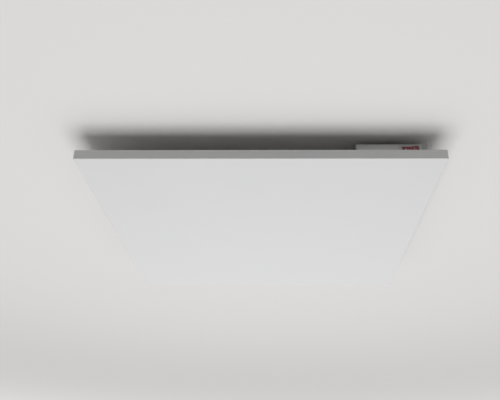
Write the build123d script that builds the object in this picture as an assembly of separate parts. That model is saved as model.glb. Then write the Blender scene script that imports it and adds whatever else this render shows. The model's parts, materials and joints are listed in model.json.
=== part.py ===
from build123d import *
import os
from math import cos, hypot, radians, sin

# An infrared panel heater that hangs under a ceiling on two rails.
# Millimetres: X to the right, Y away from the near side, Z up. The origin lies on the ceiling, midway
# between the rails, and the heating face looks down.

# Panel
panel_side = 600.0
panel_edge = 16.7
ceiling_gap = 33.3
tray_sheet = 0.8
tray_corner = 1.5
tray_fold = 1.2
tray_inner_corner = 0.9
tray_inner_fold = 0.6
tray_flange = 14.0
cover_sheet = 0.6
cover_inset = 2.0
cover_screw_inset = 8.0
cover_screw_column_count = 6
cover_screw_row_count = 4

# Heating element and insulation
element_margin = 16.0
element_sheet = 0.8
element_track = 0.3
busbar_margin = 19.0
busbar_width = 10.0
busbar_end = 14.0
strip_width = 20.0
strip_count = 18
foil_sheet = 0.2
insulation_margin = 2.0
insulation_slack = 0.2
lead_level = 6.1

# Ceiling rails, and the bars on the panel's back that hang from them
rail_length = 400.0
rail_crown = 37.0
rail_depth = 14.0
rail_flange = 15.0
rail_sheet = 1.5
rail_slot_inset = 25.0
rail_slot_length = 12.0
rail_slot_width = 5.5
bar_end_gap = 20.0
bar_crown = 44.0
bar_height = 5.0
bar_flange = 12.0
bar_sheet = 1.2
bend_share = 0.9
rivet_columns = 6
rivet_end = 30.0

# Hanger studs and the keyholes that they hang in
stud_offset = 130.0
stud_travel = 18.0
stud_head_radius = 12.0
stud_head = 3.0
stud_neck_radius = 6.0
stud_collar_radius = 9.0
stud_shank_radius = 3.0
stud_nut_width = 10.0
stud_nut = 3.0
neck_clearance = 0.5
entry_clearance = 1.0

# Lock brackets and screws, which clamp a bar to its rail
lock_width = 20.0
lock_sheet = 1.5
lock_reach = 8.5
lock_foot = 19.0
lock_top_gap = 3.0
lock_screw_drop = 8.0
lock_screw_radius = 2.5
lock_head_radius = 4.25
lock_head = 5.0
lock_socket_width = 4.0
lock_nut_width = 8.0
lock_nut = 2.0

# Control box
box_end_inset = 21.7
box_near_inset = 20.0
box_length = 121.0
box_depth = 70.0
box_height = 23.0
box_wall = 2.0
box_corner = 3.0
box_rim = 2.6
base_plate = 2.0
post_inset = 8.0
post_radius = 4.0
base_screw_inset = 35.0
base_screw_near = 8.0
vent_count = 5
vent_width = 0.5
vent_pitch = 1.6
vent_inset = 6.1
vent_margin = 3.2
plate_inset = 3.5
plate_switch_gap = 3.2
plate_margin = 3.0
plate_sheet = 0.3
plate_corner = 1.0

# Rocker switch
switch_inset = 32.5
rocker_length = 25.5
rocker_width = 9.6
rocker_rise = 4.0
rocker_dish = 1.0
rocker_skirt = 2.0
rocker_edge = 0.5
rocker_tilt = 12.0
rocker_gap = 0.3
pivot_depth = 1.0
pivot_radius = 1.2
pivot_fit = 0.05
housing_wall = 1.2
housing_depth = 22.0
bezel_lip = 1.0
bezel_stand = 1.5
stem_radius = 2.4
stem_end = 14.0
plunger_radius = 1.3
plunger_length = 5.0
plunger_nose = 1.2
spring_length = 4.0
spring_wire = 0.4
blade_depth = 18.0
blade_length = 22.0
blade_height = 5.0
blade_sheet = 0.6
blade_round = 1.0
blade_tilt = 5.0
contact_arm = 9.0
contact_radius = 1.5
contact_button = 0.8
moving_gap = 0.3
tab_width = 6.3
tab_sheet = 0.8
tab_length = 7.0

# Terminal block
block_inset = 29.7
block_near = 44.0
block_depth = 20.0
block_height = 13.0
block_round = 1.0
pole_pitch = 10.0
pole_height = 6.0
block_screw_floor = 3.0
insert_width = 4.6
insert_bore = 1.5
insert_recess = 1.0
terminal_screw_radius = 1.4
terminal_head_radius = 2.0
terminal_head = 1.6
terminal_screw_offset = 5.0

# Cable gland
gland_inset = 33.0
gland_bore = 3.25
gland_passage = 4.0
gland_neck = 4.0
gland_seal_radius = 4.6
gland_seal = 8.0
gland_thread_radius = 6.0
gland_thread = 8.0
gland_hex = 15.0
gland_flange = 4.0
gland_spigot_radius = 5.8
gland_spigot = 9.0
gland_nut_end = 2.0
gland_round = 1.4
gland_bar_gap = 10.0
locknut = 3.5

# Earth stud
earth_near = 24.0
earth_radius = 2.0
earth_spacer_radius = 4.0
earth_ring_radius = 5.4
earth_ring = 0.8
earth_washer = 0.8
earth_nut = 3.2
earth_nut_width = 7.0
earth_barrel = 4.0

# Leads, receptacles, grommet and thermal cut-outs
lead_radius = 1.3
lead_bend = 6.0
lead_wide_bend = 20.0
lead_channel = 5.0
lead_run_feed = 9.5
lead_run_neutral = 15.0
receptacle_width = 7.8
receptacle_height = 3.0
receptacle_length = 8.0
receptacle_round = 0.8
barrel_radius = 1.9
barrel_length = 4.0
barrel_grip = 3.0
grommet_share = 0.5
grommet_far = 19.5
grommet_hole = 7.0
grommet_bore = 4.5
grommet_lip = 2.0
grommet_lip_sheet = 1.6
lead_pair_x = 2.5
lead_pair_y = 1.5
cutout_x = 120.0
cutout_y = 100.0
cutout_cap_radius = 8.2
cutout_cap = 3.2
cutout_round = 0.6
cutout_radius = 7.5
cutout_height = 5.9
cutout_pad_radius = 7.0
cutout_tab_root = 2.4

# Fits that several pieces share
fit = 0.1
slack = 0.2
cavity_gap = 1.5

# Levels, from the face up to the ceiling
z_face = -panel_edge - ceiling_gap
z_skin = z_face + tray_sheet
z_track = z_skin + element_sheet
z_sheet = z_track + element_track
z_foil = z_sheet + element_sheet
z_insulation = z_foil + foil_sheet
z_rim = -ceiling_gap
z_flange = z_rim - tray_sheet
z_cover = z_rim + cover_sheet
z_bar = z_cover + bar_height
z_lead = z_insulation + lead_level
z_base = z_cover + base_plate
z_box = z_cover + box_height
z_roof = z_box - box_wall
z_switch = (z_cover + z_box) / 2
z_pole = z_base + pole_height
block_screw_seat = z_base + block_screw_floor

# Places in plan
half = panel_side / 2
element_half = half - element_margin
insulation_half = half - tray_flange - insulation_margin
busbar_x = element_half - busbar_margin
box_x1 = half - box_end_inset
box_x0 = box_x1 - box_length
box_y0 = box_near_inset - half
box_y1 = box_y0 + box_depth
switch_x = box_x1 - switch_inset
gland_x = box_x1 - gland_inset
block_x = box_x0 + block_inset
block_y0 = box_y0 + block_near - block_depth / 2
earth_y = box_y0 + earth_near
grommet_x = box_x0 + box_length * grommet_share
grommet_y = box_y1 - grommet_far
neutral_x = grommet_x + lead_pair_x
neutral_y = grommet_y - lead_pair_y
switched_x = grommet_x - lead_pair_x
switched_y = grommet_y + lead_pair_y
feed_tab_x = switch_x - contact_arm
pivot_y = box_y0 + pivot_depth
blade_y = box_y0 + blade_depth
housing_end = box_y0 + housing_depth
tab_end = housing_end + housing_wall + tab_length
line_pole, neutral_pole, earth_pole = [block_x + pole_pitch * step for step in (-1, 0, 1)]
gland_inner_end = box_y1 + gland_flange + gland_spigot + gland_nut_end / 2
gland_end = gland_inner_end + gland_nut_end
bar_half_width = bar_crown / 2 + bar_flange
rail_offset = -gland_end - gland_bar_gap - bar_half_width
rail_slot_spacing = rail_length - 2 * rail_slot_inset
bar_length = panel_side - 2 * bar_end_gap
receptacle_reach = receptacle_length + barrel_length - barrel_grip + fit
post_places = [
    (x, y)
    for x in (box_x0 + post_inset, box_x1 - post_inset)
    for y in (box_y0 + post_inset, box_y1 - post_inset)
]
base_screw_places = [
    (box_x0 + post_inset, box_y0 + base_screw_inset),
    (box_x1 - post_inset, box_y0 + base_screw_inset),
    (grommet_x, box_y0 + base_screw_near),
]
quarter_turn = 90
rail_sides = {"near": -1, "far": 1}
cutouts = {"right": 1, "left": -1}

# Screws that more than one piece is drilled for: shank radius, head radius, head height, length
cover_screw = (1.45, 3.5, 2.2, 6.0)
post_screw = (1.4, 2.8, 1.6, 10.0)
base_screw = (1.4, 3.2, 2.0, 6.0)
bar_rivet = (1.6, 3.2, 1.1, 4.0)
block_screw = (1.4, 2.1, 1.6, 4.8)
screw_dome = 0.45
rivet_dome = 0.7
rivet_spread = 1.4
drive_share = 0.22
driver_slot = 0.6


def block(low, high):
    size = [top - bottom for bottom, top in zip(low, high)]
    return Pos(*low) * Box(*size, align=(Align.MIN, Align.MIN, Align.MIN))


def across_x(start, end, y, reach, z0, z1):
    # A block between two places along X, whichever comes first, and as far as reach each side of y.
    return block((min(start, end), y - reach, z0), (max(start, end), y + reach, z1))


def disc(radius, x, y, z0, z1):
    return Pos(x, y, z0) * Cylinder(radius, z1 - z0, align=(Align.CENTER, Align.CENTER, Align.MIN))


def bar_along_y(radius, x, z, y0, y1):
    lying = Plane(origin=(x, y0, z), x_dir=(1, 0, 0), z_dir=(0, 1, 0))
    return lying * Cylinder(radius, y1 - y0, align=(Align.CENTER, Align.CENTER, Align.MIN))


def hexagon(width, height):
    return extrude(RegularPolygon(width / 2, 6, major_radius=False), height)


def hexagon_along_y(width, x, z, y0, y1):
    return Plane(origin=(x, y0, z), x_dir=(1, 0, 0), z_dir=(0, 1, 0)) * hexagon(width, y1 - y0)


def spread(count, span):
    return [span * (step / (count - 1) - 0.5) for step in range(count)]


def group(shapes):
    return Compound([solid for shape in shapes for solid in shape.solids()])


def sheet(side, z0, z1, corner=0.0):
    plate = block((-side, -side, z0), (side, side, z1))
    return fillet(plate.edges().filter_by(Axis.Z), corner) if corner else plate


def domed(radius, x, y, z, height, share):
    head = disc(radius, x, y, z, z + height)
    return fillet(head.edges().group_by(Axis.Z)[-1], height * share)


def screw(size, x, y, z):
    shank, head, head_height, length = size
    arm, blade = head / 2, head * drive_share / 2
    floor, top = z + head_height / 2, z + head_height + 1
    drive = [across_x(x - w, x + w, y, d, floor, top) for w, d in ((arm, blade), (blade, arm))]
    return domed(head, x, y, z, head_height, screw_dome) + disc(shank, x, y, z - length, z) - drive


def rivet(x, y, z):
    shank, head, head_height, length = bar_rivet
    grip = bar_sheet + cover_sheet
    tail = disc(shank * rivet_spread, x, y, z - length, z - grip)
    return domed(head, x, y, z, head_height, rivet_dome) + disc(shank, x, y, z - grip, z) + tail


def hat(length, crown, depth, flange, thickness):
    # A hat profile along X. Its flanges' outer faces lie at height 0 and its crown's outer face at depth.
    c = crown / 2
    t = thickness if depth > 0 else -thickness
    w = thickness
    outline = [
        (-c - flange, 0), (-c + w, 0), (-c + w, depth - t), (c - w, depth - t), (c - w, 0), (c + flange, 0),
        (c + flange, t), (c, t), (c, depth), (-c, depth), (-c, t), (-c - flange, t),
    ]
    section = make_face(Polyline(*outline, close=True))
    across = Plane(origin=(-length / 2, 0, 0), x_dir=(0, 1, 0), z_dir=(1, 0, 0))
    bar = extrude(across * section, length)
    crown_end = -1 if depth > 0 else 0
    return fillet(bar.edges().filter_by(Axis.X).group_by(Axis.Z)[crown_end], w * bend_share)


def cover_screw_places():
    reach = half - cover_screw_inset
    wide = [(x, side * reach) for x in spread(cover_screw_column_count, 2 * reach) for side in (-1, 1)]
    rows = spread(cover_screw_row_count + 2, 2 * reach)[1:-1]
    return wide + [(side * reach, y) for y in rows for side in (-1, 1)]


def rivet_places():
    row = bar_crown / 2 + bar_flange / 2
    columns = spread(rivet_columns, bar_length - 2 * rivet_end)
    return [
        (x, side * rail_offset + edge * row)
        for x in columns
        for side in rail_sides.values()
        for edge in (-1, 1)
    ]


def stud_places():
    return [(x, side * rail_offset) for x in (-stud_offset, stud_offset) for side in rail_sides.values()]


# Panel shell


def folded_box(inset, z0, z1, corner, fold):
    reach = half - inset
    shell = fillet(block((-reach, -reach, z0), (reach, reach, z1)).edges().filter_by(Axis.Z), corner)
    levels = shell.faces().filter_by(Axis.Z)
    return fillet(levels[0].edges() + levels[1].edges(), fold)


def front_tray():
    outer = folded_box(0, z_face, z_rim, tray_corner, tray_fold)
    inner = folded_box(tray_sheet, z_skin, z_flange, tray_inner_corner, tray_inner_fold)
    back = sheet(half - tray_flange, z_flange - tray_sheet, z_rim + tray_sheet)
    shank = cover_screw[0]
    holes = [disc(shank, x, y, z_flange - 1, z_rim + 1) for x, y in cover_screw_places()]
    return outer - inner - back - holes


def back_cover():
    plate = sheet(half - cover_inset, z_rim, z_cover, corner=tray_corner)
    holes = [disc(cover_screw[0] + fit, x, y, z_rim - 1, z_cover + 1) for x, y in cover_screw_places()]
    holes += [disc(bar_rivet[0], x, y, z_rim - 1, z_cover + 1) for x, y in rivet_places()]
    holes += [disc(base_screw[0], x, y, z_rim - 1, z_cover + 1) for x, y in base_screw_places]
    holes.append(disc(grommet_hole, grommet_x, grommet_y, z_rim - 1, z_cover + 1))
    return plate - holes


def cover_screws():
    return group(screw(cover_screw, x, y, z_cover) for x, y in cover_screw_places())


# Heating element


def busbar_tab_places():
    return {1: (busbar_x, neutral_y), -1: (-busbar_x, cutout_y)}


def tab_windows(z0, z1, margin):
    reach = busbar_width / 2 + margin
    places = busbar_tab_places().values()
    return [block((x - reach, y - reach, z0), (x + reach, y + reach, z1)) for x, y in places]


def carrier_sheet():
    return sheet(element_half, z_skin, z_track)


def busbars():
    end = element_half - busbar_end
    w = busbar_width / 2
    return group(block((s * busbar_x - w, -end, z_track), (s * busbar_x + w, end, z_sheet)) for s in (-1, 1))


def heating_strips():
    reach = busbar_x - busbar_width / 2
    w = strip_width / 2
    rows = spread(strip_count, 2 * (element_half - busbar_end) - strip_width)
    return group(block((-reach, y - w, z_track), (reach, y + w, z_sheet)) for y in rows)


def element_cover_sheet():
    return sheet(element_half, z_sheet, z_foil) - tab_windows(z_sheet - 1, z_foil + 1, fit)


def busbar_tabs():
    tabs = []
    w = tab_width / 2
    foot_reach = busbar_width / 2 - fit
    for side, (x, y) in busbar_tab_places().items():
        outer = x + side * foot_reach
        low, high = z_lead - tab_sheet / 2, z_lead + tab_sheet / 2
        foot = across_x(outer, x - side * foot_reach, y, w, z_sheet, z_sheet + tab_sheet)
        riser = across_x(outer, outer - side * tab_sheet, y, w, z_sheet, high)
        tongue = across_x(outer, x - side * (foot_reach + tab_length), y, w, low, high)
        tabs.append(foot + riser + tongue)
    return group(tabs)


def reflector_foil():
    return sheet(element_half, z_foil, z_insulation) - tab_windows(z_foil - 1, z_insulation + 1, slack)


def channel(path):
    bottom = z_lead - lead_channel / 2
    return extrude(Pos(0, 0, bottom) * trace(path, lead_channel), z_rim - bottom)


def insulation_board():
    top = z_flange - insulation_slack
    board = sheet(insulation_half, z_insulation, top)
    pockets = tab_windows(z_insulation - 1, z_rim, cavity_gap)
    grip = receptacle_length + barrel_length + tab_length
    w = receptacle_width / 2 + cavity_gap
    for side, (x, y) in busbar_tab_places().items():
        pockets.append(across_x(x, x - side * (busbar_width / 2 + grip), y, w, z_insulation - 1, z_rim))
    reach = cutout_radius + receptacle_length + barrel_length + cavity_gap
    depth = cutout_cap_radius + cavity_gap
    for x, y in [cutout_place(side) for side in cutouts.values()]:
        pockets.append(across_x(x - reach, x + reach, y, depth, z_insulation - 1, z_rim))
    pockets += [channel(path) for path in panel_paths()]
    well = grommet_hole + grommet_lip + cavity_gap
    pockets.append(disc(well, grommet_x, grommet_y, z_lead - lead_channel / 2, z_rim))
    tail_tip = z_cover + bar_sheet - bar_rivet[3] - cavity_gap
    pockets += [disc(bar_rivet[0] * 2, x, y, tail_tip, z_rim) for x, y in rivet_places()]
    screw_tip = z_base - base_screw[3] - cavity_gap
    pockets += [disc(base_screw[0] * 2, x, y, screw_tip, z_rim) for x, y in base_screw_places]
    return board - pockets


# Rails and hanging parts


def ceiling_rail(side):
    y = side * rail_offset
    rail = Pos(0, y, 0) * hat(rail_length, rail_crown, -rail_depth, rail_flange, rail_sheet)
    row = rail_crown / 2 + rail_flange / 2
    for x in (-rail_slot_spacing / 2, rail_slot_spacing / 2):
        for edge in (-1, 1):
            slot = Pos(x, y + edge * row, -rail_sheet - 1) * SlotOverall(rail_slot_length, rail_slot_width)
            rail -= extrude(slot, rail_sheet + 2)
    neck = stud_neck_radius + neck_clearance
    low, high = -rail_depth - 1, -rail_depth + rail_sheet + 1
    for x in (-stud_offset, stud_offset):
        rail -= disc(neck, x, y, low, high)
        rail -= block((x, y - neck, low), (x + stud_travel, y + neck, high))
        rail -= disc(stud_head_radius + entry_clearance, x + stud_travel, y, low, high)
    return rail


def hanger_bar(side):
    y = side * rail_offset
    bar = Pos(0, y, z_cover) * hat(bar_length, bar_crown, bar_height, bar_flange, bar_sheet)
    own_studs = [x for x, row in stud_places() if row == y]
    own_rivets = [(x, row) for x, row in rivet_places() if abs(row - y) < bar_crown]
    holes = [disc(stud_shank_radius + fit, x, y, z_cover, z_bar + 1) for x in own_studs]
    holes += [disc(bar_rivet[0], x, row, z_cover - 1, z_cover + bar_sheet + 1) for x, row in own_rivets]
    return bar - holes


def bar_rivets():
    return group(rivet(x, y, z_cover + bar_sheet) for x, y in rivet_places())


def hanger_stud(x, y):
    rail_bottom = -rail_depth
    rail_top = rail_bottom + rail_sheet
    shank_end = z_bar - bar_sheet - stud_nut - fit
    body = disc(stud_shank_radius, x, y, shank_end, z_bar)
    body += disc(stud_collar_radius, x, y, z_bar, rail_bottom - moving_gap)
    body += disc(stud_neck_radius, x, y, z_bar, rail_top + moving_gap)
    head = disc(stud_head_radius, x, y, rail_top + moving_gap, rail_top + moving_gap + stud_head)
    return body + chamfer(head.edges().group_by(Axis.Z)[-1], stud_head / 3)


def stud_nuts():
    low = z_bar - bar_sheet - stud_nut
    nut = hexagon(stud_nut_width, stud_nut) - Cylinder(stud_shank_radius + fit / 2, 4 * stud_nut)
    return group(Pos(x, y, low) * nut for x, y in stud_places())


def lock_plane(side):
    # Where a lock screw crosses its bracket: across the rail's outer wall, outward from it.
    return side * (rail_offset + rail_crown / 2)


def lock_bracket(side):
    wall = lock_plane(side)
    w = lock_width / 2
    outer = wall + side * (lock_reach + lock_sheet)
    inner = wall + side * lock_reach
    foot_y = sorted((outer, outer - side * lock_foot))
    foot = block((-w, foot_y[0], z_bar), (w, foot_y[1], z_bar + lock_sheet))
    low, high = sorted((inner, outer))
    upright = block((-w, low, z_bar), (w, high, -lock_top_gap))
    return foot + upright - bar_along_y(lock_screw_radius + fit / 2, 0, -lock_screw_drop, low - 1, high + 1)


def lock_screw(side):
    wall = lock_plane(side)
    outer = wall + side * (lock_reach + lock_sheet)
    shank_y = sorted((wall + side * moving_gap, outer))
    head_y = sorted((outer, outer + side * lock_head))
    socket_y = sorted((outer + side * lock_head / 2, outer + side * (lock_head + 1)))
    z = -lock_screw_drop
    head = bar_along_y(lock_head_radius, 0, z, *head_y)
    socket = hexagon_along_y(lock_socket_width, 0, z, *socket_y)
    return head + bar_along_y(lock_screw_radius, 0, z, *shank_y) - socket


def lock_nut_piece(side):
    wall = lock_plane(side)
    inner = wall + side * lock_reach
    ends = sorted((inner, inner - side * lock_nut))
    bore = bar_along_y(lock_screw_radius + fit / 2, 0, -lock_screw_drop, ends[0] - 1, ends[1] + 1)
    return hexagon_along_y(lock_nut_width, 0, -lock_screw_drop, *ends) - bore


# Control box


def box_base():
    gap = box_wall + slack
    plate = block((box_x0 + gap, box_y0 + gap, z_cover), (box_x1 - gap, box_y1 - gap, z_base))
    plate = fillet(plate.edges().filter_by(Axis.Z), box_corner - box_wall + slack)
    shank, _, _, length = post_screw
    for x, y in post_places:
        plate += disc(post_radius, x, y, z_cover, z_roof)
        plate -= disc(shank, x, y, z_box - length - cavity_gap, z_roof + 1)
    plate -= [disc(base_screw[0] + fit, x, y, z_cover - 1, z_base + 1) for x, y in base_screw_places]
    plate -= disc(grommet_hole + grommet_lip + slack, grommet_x, grommet_y, z_cover - 1, z_base + 1)
    plate -= disc(earth_spacer_radius + slack, earth_pole, earth_y, z_cover - 1, z_base + 1)
    plate -= disc(block_screw[0], *block_screw_place(), z_cover - 1, z_base + 1)
    return plate


def box_cover():
    shell = block((box_x0, box_y0, z_cover), (box_x1, box_y1, z_box))
    shell = fillet(shell.edges().filter_by(Axis.Z), box_corner)
    shell = fillet(shell.faces().sort_by(Axis.Z)[-1].edges(), box_rim)
    hollow = block(
        (box_x0 + box_wall, box_y0 + box_wall, z_cover - 1), (box_x1 - box_wall, box_y1 - box_wall, z_roof)
    )
    shell -= fillet(hollow.edges().filter_by(Axis.Z), box_corner - box_wall)
    x, z = housing_reach()
    near = box_y0 - 1, box_y0 + box_wall + 1
    shell -= block(
        (switch_x - x - fit, near[0], z_switch - z - fit), (switch_x + x + fit, near[1], z_switch + z + fit)
    )
    for step in range(vent_count):
        right = box_x1 - vent_inset - step * vent_pitch
        low, high = z_cover + vent_margin, z_box - vent_margin
        shell -= block((right - vent_width, near[0], low), (right, near[1], high))
    shell -= bar_along_y(gland_thread_radius + fit, gland_x, z_switch, box_y1 - box_wall - 1, box_y1 + 1)
    shank, head, head_height, _ = post_screw
    for x, y in post_places:
        shell -= disc(shank + fit, x, y, z_roof - 1, z_box + 1)
        shell -= disc(head + slack, x, y, z_box - box_wall / 2, z_box + 1)
    return shell


def box_screws():
    seat = z_box - box_wall / 2
    return group(screw(post_screw, x, y, seat) for x, y in post_places)


def base_screws():
    return group([screw(base_screw, x, y, z_base) for x, y in base_screw_places] + [terminal_block_screw()])


def blank_plate():
    low, high = z_cover + plate_margin, z_box - plate_margin
    end = switch_x - housing_reach()[0] - bezel_lip - plate_switch_gap
    plate = block((box_x0 + plate_inset, box_y0 - plate_sheet, low), (end, box_y0, high))
    return fillet(plate.edges().filter_by(Axis.Y), plate_corner)


# Rocker switch


def rocker_sweep():
    return hypot(rocker_length / 2, rocker_rise)


def cavity_reach():
    return rocker_sweep() + rocker_gap, rocker_width / 2 + rocker_gap


def housing_reach():
    x, z = cavity_reach()
    return x + housing_wall, z + housing_wall


def switch_block(x, z, y0, y1):
    # A block about the switch's middle, as far as x and z each way.
    return block((switch_x - x, y0, z_switch - z), (switch_x + x, y1, z_switch + z))


def tab_slot(x, y0, y1):
    w, t = tab_width / 2, tab_sheet / 2
    return block((x - t, y0, z_switch - w), (x + t, y1, z_switch + w))


def switch_housing():
    x, z = housing_reach()
    front = box_y0 - bezel_stand
    bezel = switch_block(x + bezel_lip, z + bezel_lip, front, box_y0)
    bezel = fillet(bezel.edges().filter_by(Axis.Y), bezel_lip)
    bezel = chamfer(bezel.faces().sort_by(Axis.Y)[0].edges(), bezel_lip / 3)
    body = switch_block(x, z, box_y0, housing_end + housing_wall)
    cavity = switch_block(*cavity_reach(), front - 1, housing_end)
    holes = disc(pivot_radius + pivot_fit, switch_x, pivot_y, z_switch - z, z_switch + z)
    tabs = [tab_slot(tab, housing_end - 1, tab_end) for tab in (switch_x, feed_tab_x)]
    return bezel + body - cavity - holes - tabs


def turned(shape, y, degrees):
    # Turns a switch piece about an upright line through the switch, at depth y.
    return Pos(switch_x, y, z_switch) * Rot(0, 0, degrees) * shape


def plunger_tip():
    return blade_y - blade_sheet / 2 - moving_gap - pivot_y


def switch_rocker():
    end, rise, skirt = rocker_length / 2, rocker_rise, rocker_skirt
    left, right = (-end, -rise), (end, -rise)
    root = skirt + rise
    sides = Polyline(right, (end, skirt), (stem_radius, root), (-stem_radius, root), (-end, skirt), left)
    profile = make_face(sides + ThreePointArc(left, (0, rocker_dish - rise), right))
    body = Pos(0, 0, -rocker_width / 2) * extrude(profile, rocker_width)
    body = fillet(body.edges().group_by(Axis.Y)[0], rocker_edge)
    stem = bar_along_y(stem_radius, 0, 0, 0, stem_end)
    spring_start = plunger_tip() - plunger_length - spring_length
    bore = bar_along_y(plunger_radius + pivot_fit, 0, 0, spring_start, stem_end + 1)
    pin_reach = housing_reach()[1] - slack
    pins = disc(pivot_radius, 0, 0, -pin_reach, pin_reach)
    return turned(body + stem - bore + pins, pivot_y, -rocker_tilt)


def rocker_plunger():
    tip = plunger_tip()
    pin = bar_along_y(plunger_radius, 0, 0, tip - plunger_length, tip)
    pin = fillet(pin.edges().group_by(Axis.Y)[-1], plunger_nose)
    return turned(pin, pivot_y, -rocker_tilt)


def plunger_spring():
    end = plunger_tip() - plunger_length
    coil = bar_along_y(plunger_radius, 0, 0, end - spring_length, end)
    coil -= bar_along_y(plunger_radius - spring_wire, 0, 0, end - spring_length - 1, end + 1)
    return turned(coil, pivot_y, -rocker_tilt)


def contact_blade():
    t, w, h = blade_sheet / 2, blade_length / 2, blade_height / 2
    blade = block((-w, -t, -h), (w, t, h))
    return turned(fillet(blade.edges().filter_by(Axis.Y), blade_round), blade_y, blade_tilt)


def moving_contact():
    button = bar_along_y(contact_radius, -contact_arm, 0, blade_sheet / 2, blade_sheet / 2 + contact_button)
    return turned(button, blade_y, blade_tilt)


def fixed_contact_face():
    # The blade's contact comes this far back when the blade is closed.
    lift = contact_arm * sin(radians(blade_tilt)) + contact_radius * sin(radians(blade_tilt))
    reach = (blade_sheet / 2 + contact_button) * cos(radians(blade_tilt))
    return blade_y + lift + reach + moving_gap


def switch_tabs():
    face = fixed_contact_face()
    feed = tab_slot(feed_tab_x, face + contact_button, tab_end)
    feed += bar_along_y(contact_radius, feed_tab_x, z_switch, face, face + contact_button)
    fulcrum = tab_slot(switch_x, blade_y + blade_sheet / 2 + moving_gap, tab_end)
    return group([feed, fulcrum])


# Terminal block


def block_screw_place():
    return block_x + pole_pitch / 2, block_y0 + block_depth / 2


def insert_channel(x, gap):
    w = insert_width / 2 + gap
    return block((x - w, block_y0 - 1, z_pole - w), (x + w, block_y0 + block_depth + 1, z_pole + w))


def terminal_screw_places():
    middle = block_y0 + block_depth / 2
    poles = (line_pole, neutral_pole, earth_pole)
    return [(x, middle + offset) for x in poles for offset in (-terminal_screw_offset, terminal_screw_offset)]


def terminal_block():
    reach = 1.5 * pole_pitch
    middle = block_y0 + block_depth / 2
    body = across_x(block_x - reach, block_x + reach, middle, block_depth / 2, z_base, z_base + block_height)
    body = fillet(body.edges().group_by(Axis.Z)[-1], block_round)
    body -= [insert_channel(x, fit) for x in (line_pole, neutral_pole, earth_pole)]
    top = z_base + block_height + 1
    body -= [disc(terminal_head_radius + slack, x, y, z_pole, top) for x, y in terminal_screw_places()]
    x, y = block_screw_place()
    body -= disc(block_screw[0] + fit, x, y, z_base - 1, top)
    return body - disc(block_screw[1] + fit, x, y, block_screw_seat, top)


def terminal_inserts():
    pieces = []
    w = insert_width / 2
    for pole in (line_pole, neutral_pole, earth_pole):
        low = (pole - w, block_y0 + insert_recess, z_pole - w)
        piece = block(low, (pole + w, block_y0 + block_depth - insert_recess, z_pole + w))
        piece -= bar_along_y(insert_bore, pole, z_pole, block_y0 - 1, block_y0 + block_depth + 1)
        holes = [
            disc(terminal_screw_radius, x, y, z_pole, z_pole + insert_width)
            for x, y in terminal_screw_places()
            if x == pole
        ]
        pieces.append(piece - holes)
    return group(pieces)


def driver_cut(x, y, radius, z0, z1):
    return across_x(x - radius - 1, x + radius + 1, y, driver_slot / 2, z0, z1 + 1)


def terminal_screws():
    # Backed off, with the tips above the leads.
    tip = z_pole + lead_radius + fit
    shoulder = z_pole + insert_width / 2 + fit
    pieces = []
    for x, y in terminal_screw_places():
        top = shoulder + terminal_head
        head = disc(terminal_head_radius, x, y, shoulder, top)
        slot = driver_cut(x, y, terminal_head_radius, top - terminal_head / 2, top)
        pieces.append(head + disc(terminal_screw_radius, x, y, tip, shoulder) - slot)
    return group(pieces)


def terminal_block_screw():
    shank, head, head_height, length = block_screw
    x, y = block_screw_place()
    seat = block_screw_seat
    top = seat + head_height
    slot = driver_cut(x, y, head, seat + head_height / 2, top)
    return disc(head, x, y, seat, top) + disc(shank, x, y, seat - length, seat) - slot


# Cable gland


def gland_bar(radius, y0, y1):
    return bar_along_y(radius, gland_x, z_switch, y0, y1)


def gland_body():
    inner_end = box_y1 - gland_thread
    flange_end = box_y1 + gland_flange
    end = flange_end + gland_spigot
    body = gland_bar(gland_thread_radius, inner_end, box_y1)
    body += hexagon_along_y(gland_hex, gland_x, z_switch, box_y1, flange_end)
    body += gland_bar(gland_spigot_radius, flange_end, end)
    seat = gland_inner_end - gland_seal
    body -= gland_bar(gland_passage, inner_end - 1, seat - gland_neck)
    body -= gland_bar(gland_bore, seat - gland_neck - 1, seat + 1)
    return body - gland_bar(gland_seal_radius + fit, seat, end + 1)


def gland_seal_piece():
    start, end = gland_inner_end - gland_seal, gland_inner_end
    return gland_bar(gland_seal_radius, start, end) - gland_bar(gland_bore, start - 1, end + 1)


def gland_cap_nut():
    start = box_y1 + gland_flange + fit
    nut = hexagon_along_y(gland_hex, gland_x, z_switch, start, gland_inner_end)
    dome = gland_bar(gland_hex / 2, gland_inner_end, gland_end)
    nut += fillet(dome.edges().group_by(Axis.Y)[-1], gland_round)
    nut -= gland_bar(gland_spigot_radius + fit, start - 1, gland_inner_end)
    return nut - gland_bar(gland_bore, gland_inner_end - 1, gland_end + 1)


def gland_locknut():
    start = box_y1 - box_wall - locknut
    nut = hexagon_along_y(gland_hex, gland_x, z_switch, start, box_y1 - box_wall)
    return nut - gland_bar(gland_thread_radius + fit / 2, start - 1, box_y1)


# Earth connection


def z_earth():
    return z_pole - earth_ring / 2


def earth_stud():
    top = z_earth() + earth_ring + earth_washer + earth_nut + 1
    return disc(earth_radius, earth_pole, earth_y, z_cover, top)


def earth_spacer():
    tube = disc(earth_spacer_radius, earth_pole, earth_y, z_cover, z_earth())
    return tube - disc(earth_radius + fit, earth_pole, earth_y, z_cover - 1, z_earth() + 1)


def earth_ring_piece():
    z = z_earth()
    ring = disc(earth_ring_radius, earth_pole, earth_y, z, z + earth_ring)
    edge = earth_y + earth_ring_radius
    end = edge + earth_barrel
    barrel = bar_along_y(barrel_radius, earth_pole, z_pole, edge - 1, end)
    bore = bar_along_y(lead_radius + pivot_fit, earth_pole, z_pole, end - barrel_grip, end + 1)
    return ring + barrel - bore - disc(earth_radius + fit, earth_pole, earth_y, z - 1, z + 2)


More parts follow.
